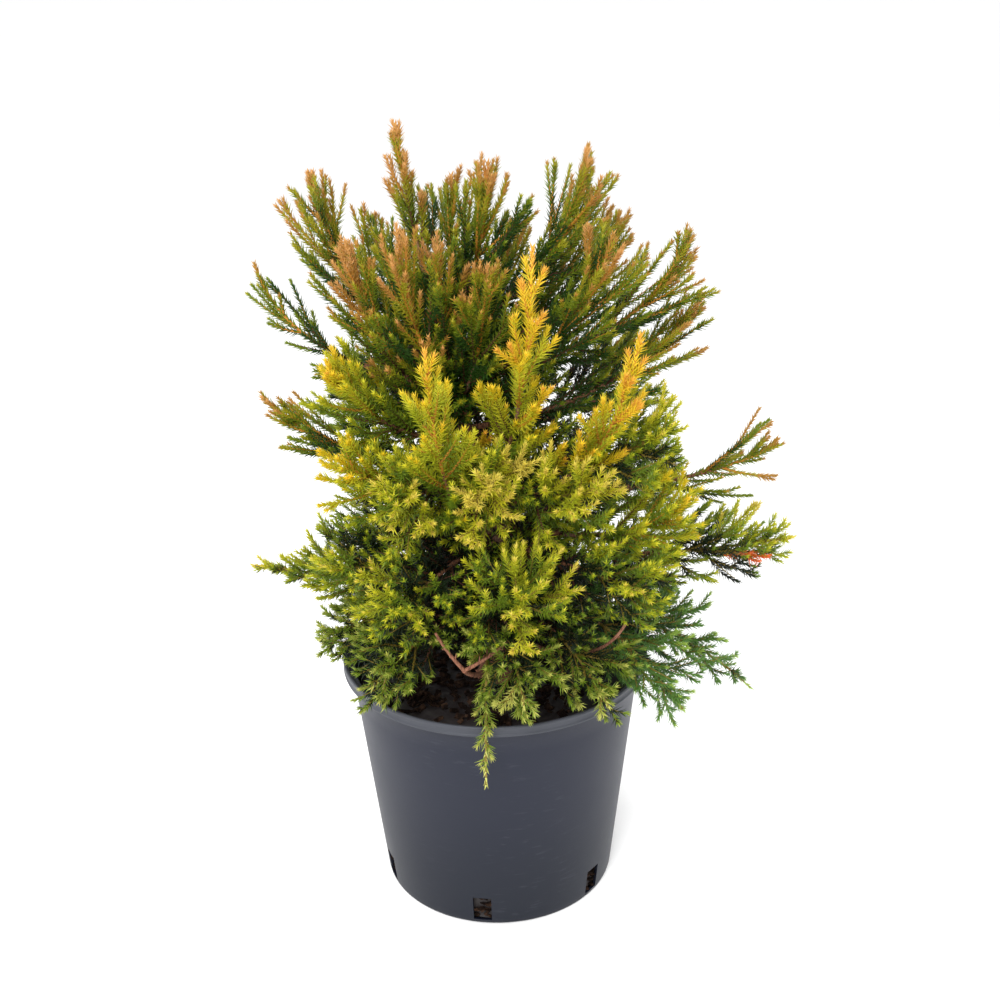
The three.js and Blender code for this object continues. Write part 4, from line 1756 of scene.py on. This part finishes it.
    def shoots(self, parents: Twigs, first: Array, seed: Seed) -> Twigs:
        """Shoots along stems and laterals, shorter towards the tip of what carries them.

        Args:
            parents: The stems or laterals.
            first: Share of each at which its shoots begin.
            seed: Seed of the random numbers.

        Returns:
            The shoots.
        """
        rng = np.random.default_rng(seed)
        pace, longest, spread, rise = self.habit_values("pace", "shoot", "shoot_spread", "shoot_rise")
        length = parents.lengths()
        counts = np.floor(length * (self.shoot_last - first) / pace[parents.owner]).astype(int)
        which, order = dealt(counts)
        share = (order + rng.uniform(*self.shoot_within, len(order))) / counts[which]
        on_parent = lerp(first[which], self.shoot_last, share)
        owner = parents.owner[which]
        foot, along = parents.at(which, on_parent), parents.along(which, on_parent)
        across = self.across()[owner]
        across = across + self.shoot_turn_luck * rng.normal(size=across.shape)
        around = spiral(rng, len(parents), which, order)
        lean = spread[owner] + rng.uniform(-self.shoot_spread_luck, self.shoot_spread_luck, len(order))
        out = sideways(along, across, around, lean - self.closing * share)
        limit = np.minimum(longest[owner], self.shoot_limit * length[which])
        full = limit * plume(share, PLUME) * rng.uniform(*self.shoot_luck, len(order))
        further = lerp(parents.outward[which], 1.0, self.shoot_outward * on_parent)
        outward = np.where(parents.rank[which] == 0, on_parent, further)
        start = Twigs.alike(foot, along, out, owner, 2, outward, parents.spray[which], self.shoot_radii)
        return self.fitted(start, np.maximum(full, self.shoot_least), rise[owner])


# ---- Needles ----


class Tint(Enum):
    """The colours that sprays are dealt, from the crown's shaded inside to the tips, for a screen. The two
    darkest are painted shade.
    """

    # Near-black painted shade for needles deep inside the crown.
    SHADE = (8, 17, 5)
    DUSK = (20, 38, 9)
    DEEP = (42, 74, 14)
    MID = (106, 128, 28)
    LEAF = (156, 162, 28)
    YELLOW_GREEN = (188, 184, 38)
    PALE_GOLD = (202, 184, 72)
    OLIVE = (106, 122, 18)
    KHAKI = (150, 146, 26)
    BRONZE = (170, 126, 52)
    PEACH = (192, 142, 78)
    GOLD = (204, 180, 26)
    BRIGHT_GOLD = (222, 188, 42)
    AMBER = (214, 160, 52)
    COOL_SHADE = (44, 76, 28)
    COOL_LEAF = (84, 122, 50)
    COOL_TIP = (142, 168, 72)
    SAGE = (140, 150, 58)
    PALE_SAGE = (176, 176, 84)
    FLAME = (212, 100, 38)


# Each palette runs from the crown's inside, whose darkest tints are painted shade, to the tips.
PALETTES = {
    Habit.STUBBY: (Tint.SHADE, Tint.DUSK, Tint.MID, Tint.LEAF, Tint.YELLOW_GREEN, Tint.PALE_GOLD),
    Habit.PLUME: (Tint.DEEP, Tint.DEEP, Tint.OLIVE, Tint.KHAKI, Tint.BRONZE, Tint.PEACH),
    Habit.SLENDER: (Tint.DEEP, Tint.DEEP, Tint.OLIVE, Tint.OLIVE, Tint.KHAKI, Tint.BRONZE),
    Habit.SPRAY: (Tint.MID, Tint.LEAF, Tint.YELLOW_GREEN, Tint.GOLD, Tint.BRIGHT_GOLD, Tint.AMBER),
}
COOL_PALETTE = (Tint.SHADE, Tint.COOL_SHADE, Tint.COOL_LEAF, Tint.COOL_LEAF, Tint.COOL_TIP, Tint.COOL_TIP)
SAGE_PALETTE = (Tint.SHADE, Tint.DUSK, Tint.MID, Tint.SAGE, Tint.PALE_SAGE, Tint.PALE_SAGE)


@dataclass
class Needles:
    """Awl-shaped needles in spirals, each a closed spike of four faces.

    A twig that starts at the share lit_from of its limb, or further out, stands fully in the light.
    Crowding and lean_power say how the needles draw together and close up towards the tip, tapering how
    much shorter the last one is, and keel_below how much of the keel lies under the needle's foot.
    """

    twigs: Twigs
    branching: Branching
    width: float = 1.4
    shaded_width: float = 2.1
    keel: float = 0.6
    keel_below: float = 0.35
    lit_from: float = 0.75
    fewest: int = 4
    crowding: float = 1.25
    turn_luck: float = 9.0
    lean_power: float = 1.6
    lean_luck: float = 6.0
    tapering: float = 0.42
    length_luck: Span = (0.8, 1.12)
    beside_stem: float = 0.94
    foot_depth: float = 0.6
    largest_piece: int = 46000

    def places(self, first: Array) -> dict[str, Array]:
        """Where each needle stands, which way it points and how long it is.

        Along a twig the needles follow the golden angle, and lean in towards the tip.

        Args:
            first: Share of each twig at which its needles begin.

        Returns:
            The twig, share, foot, direction, keel, length and width of each needle.
        """
        rng = np.random.default_rng(Seed.NEEDLES)
        twigs = self.twigs
        needle, lean_range, density = self.branching.habit_values("needle", "lean", "density")
        lit = np.clip(twigs.outward / self.lit_from, 0, 1)
        to_each_mm = lerp(density[twigs.owner, 0], density[twigs.owner, 1], lit)
        counts = np.maximum(np.round(twigs.lengths() * (1 - first) * to_each_mm), self.fewest).astype(int)
        which, order = dealt(counts)
        share = 1 - (1 - (order + 0.5) / counts[which]) ** self.crowding
        on_twig = lerp(first[which], 1.0, share)
        owner = twigs.owner[which]
        along = twigs.along(which, on_twig)
        least = np.eye(3)[np.argmin(np.abs(along), axis=1)]
        around = spiral(rng, len(twigs), which, order)
        around += rng.uniform(-self.turn_luck, self.turn_luck, len(order))
        lean = lerp(lean_range[owner, 0], lean_range[owner, 1], share**self.lean_power)
        lean += rng.uniform(-self.lean_luck, self.lean_luck, len(order))
        out = sideways(along, least, around, np.full(len(order), 90.0))
        turn = np.radians(lean)[:, None]
        length = lerp(needle[owner, 0], needle[owner, 1], lit[which]) * (1 - self.tapering * share**3)
        length *= rng.uniform(*self.length_luck, len(order))
        length *= np.where(twigs.rank[which] == 0, 1.0, self.beside_stem)
        radius = lerp(twigs.thick[which], twigs.thin[which], on_twig)
        return {
            "which": which,
            "share": share,
            "foot": twigs.at(which, on_twig) + out * (radius * self.foot_depth)[:, None],
            "direction": along * np.cos(turn) + out * np.sin(turn),
            "keel": out * np.cos(turn) - along * np.sin(turn),
            "length": length,
            "width": lerp(self.shaded_width, self.width, lit[which]),
        }

    def build(self, tints: Array, places: dict[str, Array]) -> None:
        """Makes one or more pieces for each tint.

        Args:
            tints: For each needle, its place in the list of tints.
            places: What places() gives.
        """
        for number, tint in enumerate(Tint):
            chosen = np.flatnonzero(tints == number)
            for part in range(0, len(chosen), self.largest_piece):
                picked = chosen[part : part + self.largest_piece]
                name = f"needles_{tint.name.lower()}_{part // self.largest_piece + 1}"
                finish = PlainFinish(f"needle_{tint.name.lower()}", "foliage", tint.value)
                surface = Surface()
                surface.add(*self.spikes({key: values[picked] for key, values in places.items()}))
                piece = surface.object(name, finish, smooth=False)
                owners = np.unique(self.twigs.owner[places["which"][picked]])
                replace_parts(piece, *[f"foliage_{self.branching.limbs[n].name}" for n in owners])

    def spikes(self, places: dict[str, Array]) -> Shape:
        """Spikes from three corners at the foot, one of them the keel, to a tip.

        Args:
            places: What places() gives, for the needles wanted.

        Returns:
            The corners, and the faces between them.
        """
        foot, direction, width = places["foot"], places["direction"], places["width"][:, None]
        side = np.cross(direction, places["keel"]) * width / 2
        keel = places["keel"] * width * self.keel
        tip = foot + direction * places["length"][:, None]
        low, high = foot - keel * self.keel_below, foot + keel * (1 - self.keel_below)
        corners = np.stack([low + side, low - side, high, tip], axis=1)
        faces = np.array([[0, 1, 2], [0, 3, 1], [1, 3, 2], [2, 3, 0]])
        return corners, [(np.arange(len(foot))[:, None, None] * 4 + faces[None]).reshape(-1, 3)]


# ---- Wood ----


@dataclass(frozen=True)
class BareTwig:
    """An old twig that has lost its needles: a curve from a foot past a middle to a tip."""

    foot: Triple
    middle: Triple
    tip: Triple
    thick: float
    thin: float

    def points(self, share: Array) -> Array:
        """Points at shares of the curve."""
        return curve(np.array(self.foot), np.array(self.middle), np.array(self.tip), share)


@dataclass(frozen=True)
class Spurs:
    """Short straight spurs where shoots once stood, turned by the golden angle along a bare twig."""

    count: int = 9
    length: float = 6.5
    stretch: Span = (0.3, 0.97)
    look_ahead: float = 0.02
    spread: float = 48.0
    shortest: float = 0.6
    swing: float = 0.4
    beat: float = 2.0
    rings: int = 4
    sides: int = 6
    radii: Span = (0.9, 0.5)

    def on(self, twig: BareTwig) -> list[Array]:
        """The spurs of one twig.

        Args:
            twig: The bare twig.

        Returns:
            The points of each spur, from its foot to its tip.
        """
        order = np.arange(self.count)
        share = lerp(*self.stretch, (order + 0.5) / self.count)
        foot = twig.points(share)
        along = unit(twig.points(share + self.look_ahead) - foot)
        across = np.broadcast_to([0.0, 0.0, 1.0], along.shape)
        out = sideways(along, across, GOLDEN_ANGLE * order, np.full(self.count, self.spread))
        lengths = self.length * (self.shortest + self.swing * np.cos(self.beat * order))
        steps = np.linspace(0, 1, self.rings)
        return [foot[n] + steps[:, None] * out[n] * lengths[n] for n in order]


@dataclass
class Wood:
    """The trunk, the boughs, the bare stretch of every limb and a few bare twigs, with the bark's relief.

    Rings count the corners along a tube and sides those round it. The bark's noise is drawn out along a
    tube by strip_length, and strips holds the weight, the cell in radii and the seed of its two layers.
    Hidden is the share of the way to a limb's start at which its wood begins, inside the trunk.
    """

    trunk: TrunkRule
    limbs: list[Limb]
    relief: float = 0.55
    relief_limit: float = 0.12
    strip_length: float = 8.0
    strips: tuple[tuple[float, float, int], ...] = ((0.65, 0.34, 5), (0.35, 0.15, 6))
    bark: Finish = BarkFinish("cedar_bark", "bark")
    red_bark: Finish = BarkFinish(
        "red_bark", "bark", (0.34, 0.15, 0.09), (0.13, 0.05, 0.03), (0.36, 0.22, 0.15)
    )
    trunk_sunk: float = 1.0
    trunk_rings: int = 260
    trunk_sides: int = 48
    hidden: float = 0.55
    bough_rings: int = 60
    bough_sides: int = 20
    overlap: float = 0.01
    stem_end: float = 0.45
    stem_end_radius: float = 1.3
    stem_rings: int = 26
    stem_sides: int = 8
    twig_rings: int = 40
    twig_sides: int = 12
    bare_twigs: tuple[BareTwig, ...] = (
        BareTwig((0, -6, 236), (-8, -84, 234), (-26, -113, 268), 2.4, 2.1),
        BareTwig((-25, -112, 267), (-37, -119, 284), (-48, -121, 308), 1.9, 1.1),
        BareTwig((-26, -112, 267), (-6, -118, 280), (12, -119, 298), 1.8, 1.0),
        BareTwig((6, -8, 250), (84, -98, 246), (108, -129, 318), 2.2, 1.1),
    )
    spurs: Spurs = Spurs()
    bare_masses: tuple[str, ...] = ("foliage_low_front", "foliage_low_front_left", "foliage_low_front_right")

    def barked(self, centre: Array, along: Array, radius: Array, sides: int) -> Shape:
        """A tube whose surface stands out in long strips.

        A corner is the centre plus (radius + relief n) times a direction square on the curve, where n is
        noise from -1 to 1 that is drawn out along the tube.

        Args:
            centre: Points of the curve.
            along: Its directions.
            radius: The radius at each point.
            sides: Corners in a ring.

        Returns:
            The corners, and the faces between them.
        """
        least = np.eye(3)[np.argmin(np.abs(centre[-1] - centre[0]))]
        side = unit(least - dots(np.broadcast_to(least, along.shape), along) * along)
        over = np.cross(along, side)
        angle = np.arange(sides) * 2 * np.pi / sides
        ring = np.cos(angle)[None, :, None] * side[:, None] + np.sin(angle)[None, :, None] * over[:, None]
        travelled = np.concatenate([[0], np.cumsum(np.linalg.norm(np.diff(centre, axis=0), axis=1))])
        rows, width = len(centre), radius.mean()
        around = np.broadcast_to(np.stack([np.cos(angle), np.sin(angle)], axis=1) * width, (rows, sides, 2))
        up = np.broadcast_to((travelled / self.strip_length)[:, None, None], (rows, sides, 1))
        place = np.concatenate([around, up], axis=-1).reshape(-1, 3)
        strips = sum(part * lattice_noise(place, width * cell, seed) for part, cell, seed in self.strips)
        deepest = np.minimum(self.relief, radius * self.relief_limit)
        depth = deepest[:, None] * (2 * strips.reshape(rows, sides) - 1)
        corners = centre[:, None] + ring * (radius[:, None] + depth)[..., None]
        caps = [np.arange(sides)[::-1][None], ((rows - 1) * sides + np.arange(sides))[None]]
        return corners, [grid_faces(rows, sides, True), *caps]

    def build(self) -> None:
        """Makes the trunk, the boughs, the bare stems and the bare twigs."""
        self.build_trunk()
        self.build_limbs()
        self.build_bare_twigs()

    def build_trunk(self) -> None:
        """Makes the trunk, which begins a little under the top of the mix."""
        heights = np.linspace(self.trunk.foot - self.trunk_sunk, self.trunk.top, self.trunk_rings)
        centre = self.trunk.axis(heights)
        along, radius = unit(np.gradient(centre, axis=0)), self.trunk.radius(heights)
        surface = Surface()
        surface.add(*self.barked(centre, along, radius, self.trunk_sides))
        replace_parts(surface.object("trunk_bark", self.bark), "trunk")

    def build_limbs(self) -> None:
        """Makes the boughs, and the stem of every limb from its bough or the trunk into its needles."""
        boughs, names, stems = Surface(), [], Surface()
        for limb in self.limbs:
            start = self.hidden * limb.start
            if limb.bough_end:
                shares = np.linspace(start, limb.bough_end, self.bough_rings)
                radius = lerp(BOUGH_RADIUS, JOIN_RADIUS, (shares - start) / (limb.bough_end - start))
                boughs.add(*self.barked(limb.point(shares), limb.direction(shares), radius, self.bough_sides))
                names.append(f"bough_{limb.name}")
                start = limb.bough_end - self.overlap
            end = lerp(limb.leafy, 1.0, self.stem_end)
            shares = np.linspace(start, end, self.stem_rings)
            radius = lerp(JOIN_RADIUS, self.stem_end_radius, (shares - start) / (end - start))
            stems.add(*self.barked(limb.point(shares), limb.direction(shares), radius, self.stem_sides))
        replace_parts(boughs.object("bough_bark", self.bark), *names)
        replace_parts(stems.object("stem_bark", self.bark), *(f"foliage_{limb.name}" for limb in self.limbs))

    def build_bare_twigs(self) -> None:
        """Makes the bare twigs at the front with their spurs."""
        surface, share = Surface(), np.linspace(0, 1, self.twig_rings)
        spurs = self.spurs
        for twig in self.bare_twigs:
            centre, radius = twig.points(share), lerp(twig.thick, twig.thin, share)
            surface.add(*self.barked(centre, unit(np.gradient(centre, axis=0)), radius, self.twig_sides))
            for spur in spurs.on(twig):
                radius = np.linspace(*spurs.radii, spurs.rings)
                surface.add(*self.barked(spur, unit(np.gradient(spur, axis=0)), radius, spurs.sides))
        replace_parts(surface.object("bare_twigs", self.red_bark), *self.bare_masses)


# ---- Crown ----


@dataclass
class Crown:
    """All masses of foliage: stems, laterals, shoots and their needles.

    Where there is a number for each rank, they are those of stems, laterals and shoots. Needles may dip
    into the pot's space by pot_dip, and ripeness is how much riper a limb is than the rule makes it.
    """

    limbs: list[Limb]
    branching: Branching
    first_shoot: float = 0.12
    first_needle: Triple = (0.1, 0.1, 0.06)
    pot_dip: float = 1.5
    rings_and_sides: tuple[tuple[int, int], ...] = ((12, 6), (5, 4), (2, 3))
    stem_from: float = 0.43
    brown_within: float = 0.5
    twig_luck: float = 0.04
    spray_luck: float = 0.11
    lowest: float = 230.0
    height_range: float = 420.0
    stem_foot_outward: float = 0.3
    outward_share: float = 0.52
    outward_power: float = 1.3
    tip_share: float = 0.36
    tip_power: float = 2.5
    height_share: float = 0.1
    least_ripe: float = -0.03
    golden_wood: Finish = PlainFinish("golden_wood", "foliage", (184, 122, 44), 0.6)
    green_wood: Finish = PlainFinish("green_wood", "foliage", (122, 104, 40), 0.6)
    # Brown of the older twigs inside the crown, darkened as painted shade.
    brown_wood: Finish = PlainFinish("brown_wood", "bark", (88, 54, 36), 0.7)
    flame_tip: Triple = (223.0, -61.0, 334.0)
    flame_reach: float = 16.0
    flame_from: float = 0.3
    ripeness: tuple[tuple[str, float], ...] = (
        ("gold_middle", 0.1), ("gold_right", 0.1), ("gold_front_left", -0.06), ("right_plume", 0.25),
        ("right_spray", -0.18), ("brown_left", 0.12), ("heart_left", 0.12), ("shoulder_left", -0.14),
        ("flank_left", 0.02), ("flank_front_left", -0.1), ("leader", 0.26), ("flank_front_centre", 0.26),
        ("flank_front", 0.2), ("flank_front_middle", 0.18), ("belly_front", 0.08),
        ("belly_front_middle", 0.05), ("belly_front_right", -0.05), ("low_front_right", -0.05),
        ("low_left", -0.06), ("low_front_left", -0.08), ("low_front", -0.04),
    )
    cool_limbs: tuple[str, ...] = ("low_right", "low_right_back", "low_right_front")
    sage_limbs: tuple[str, ...] = (
        "low_front", "low_front_left", "low_front_right", "low_left", "low_left_back", "low_back_left",
        "low_back", "drooping_shoot",
    )

    def build(self) -> None:
        """Grows the twigs and dresses them with needles."""
        grow = self.branching
        stems, laterals, leafy = grow.stems(), grow.laterals(), grow.values("leafy")
        on_laterals = grow.shoots(laterals, np.full(len(laterals), self.first_shoot), Seed.LATERAL_SHOOTS)
        shoots = Twigs.joined([on_laterals, grow.shoots(stems, leafy, Seed.STEM_SHOOTS)])
        log.info("%d laterals, %d shoots", len(laterals), len(shoots))
        twigs = Twigs.joined([stems, laterals, shoots])
        self.wood(twigs, leafy)
        first = np.concatenate([leafy, np.zeros(len(laterals)), np.zeros(len(shoots))])
        needles = Needles(twigs, grow)
        places = needles.places(first + np.array(self.first_needle)[twigs.rank])
        tips = places["foot"] + places["direction"] * places["length"][:, None]
        keep = grow.space.beside_pot(tips) > -self.pot_dip
        places = {key: values[keep] for key, values in places.items()}
        log.info("%d needles", len(places["which"]))
        needles.build(self.tints(twigs, places), places)

    def wood(self, twigs: Twigs, leafy: Array) -> None:
        """Makes the tubes of stems, laterals and shoots: golden or green, and brown deep inside, a brown
        darkened as painted shade.

        Args:
            twigs: All twigs.
            leafy: Share of each limb at which its needles begin.
        """
        names = [f"foliage_{limb.name}" for limb in self.limbs]
        stubby = np.array([limb.habit is Habit.STUBBY for limb in self.limbs])
        golden, green, brown = Surface(), Surface(), Surface()
        for rank, (rings, sides) in enumerate(self.rings_and_sides):
            part = twigs.take(twigs.rank == rank)
            start = lerp(leafy, 1.0, self.stem_from) if rank == 0 else np.zeros(len(part))
            end = np.ones(len(part))
            # Twigs deep inside the crown take the brown darkened as painted shade.
            inner = (part.outward < self.brown_within) & (part.rank > 0)
            leafy_green = stubby[part.owner] & ~inner
            for surface, mask in ((brown, inner), (green, leafy_green), (golden, ~inner & ~leafy_green)):
                surface.add(*part.take(mask).tubes(start[mask], end[mask], rings, sides))
        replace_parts(golden.object("golden_twigs", self.golden_wood), *names)
        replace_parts(green.object("green_twigs", self.green_wood), *names)
        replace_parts(brown.object("brown_twigs", self.brown_wood), *names)

    def tints(self, twigs: Twigs, places: dict[str, Array]) -> Array:
        """The tint of every needle, dealt out by spray.

        Ripeness is a share of how far out on its limb a twig starts, to a power, and a share of the way
        along the twig, to a power, with height, luck and the limb's own ripeness added. It picks from
        the limb's palette. The shoots round one place at the right are flame red.

        Args:
            twigs: All twigs.
            places: What Needles.places() gives.

        Returns:
            For each needle, the place of its tint in the list of tints.
        """
        rng = np.random.default_rng(Seed.TINTS)
        which, share = places["which"], places["share"]
        owner = twigs.owner[which]
        luck = rng.normal(0, self.twig_luck, len(twigs))[which]
        spray = rng.normal(0, self.spray_luck, twigs.spray.max() + 1)[twigs.spray[which]]
        height = np.clip((twigs.tip[:, 2] - self.lowest) / self.height_range, 0, 1)[which]
        stem = twigs.rank[which] == 0
        outward = np.where(stem, lerp(self.stem_foot_outward, 1.0, share), twigs.outward[which])
        ripe = self.outward_share * outward**self.outward_power + self.tip_share * share**self.tip_power
        ripe = ripe + self.height_share * height + self.least_ripe + luck + spray
        shifts = dict(self.ripeness)
        ripe += np.array([shifts.get(limb.name, 0.0) for limb in self.limbs])[owner]
        order = {tint: number for number, tint in enumerate(Tint)}
        own = dict.fromkeys(self.cool_limbs, COOL_PALETTE) | dict.fromkeys(self.sage_limbs, SAGE_PALETTE)
        chosen = [own.get(limb.name, PALETTES[limb.habit]) for limb in self.limbs]
        palettes = np.array([[order[tint] for tint in palette] for palette in chosen])
        length = palettes.shape[1]
        # Low ripeness, deep inside the crown, picks the near-black tints, which are painted shade.
        step = np.clip(np.floor(ripe * length), 0, length - 1).astype(int)
        near = np.linalg.norm(twigs.tip - np.array(self.flame_tip), axis=1) < self.flame_reach
        return np.where(near[which] & (share > self.flame_from), order[Tint.FLAME], palettes[owner, step])


# ---- The whole ----


def main() -> None:
    """Builds the plant, its pot and the studio."""
    logging.basicConfig(level=logging.INFO, format="%(message)s")
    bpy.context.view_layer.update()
    Eye().make()
    Studio().make()
    pot, trunk = Pot(), TrunkRule()
    pot.build()
    PottingMix(pot).build()
    limbs = Skeleton(trunk).limbs()
    Wood(trunk, limbs).build()
    branching = Branching(limbs, Space(limbs, trunk, pot))
    Crown(limbs, branching).build()


if __name__ == "__main__":
    main()
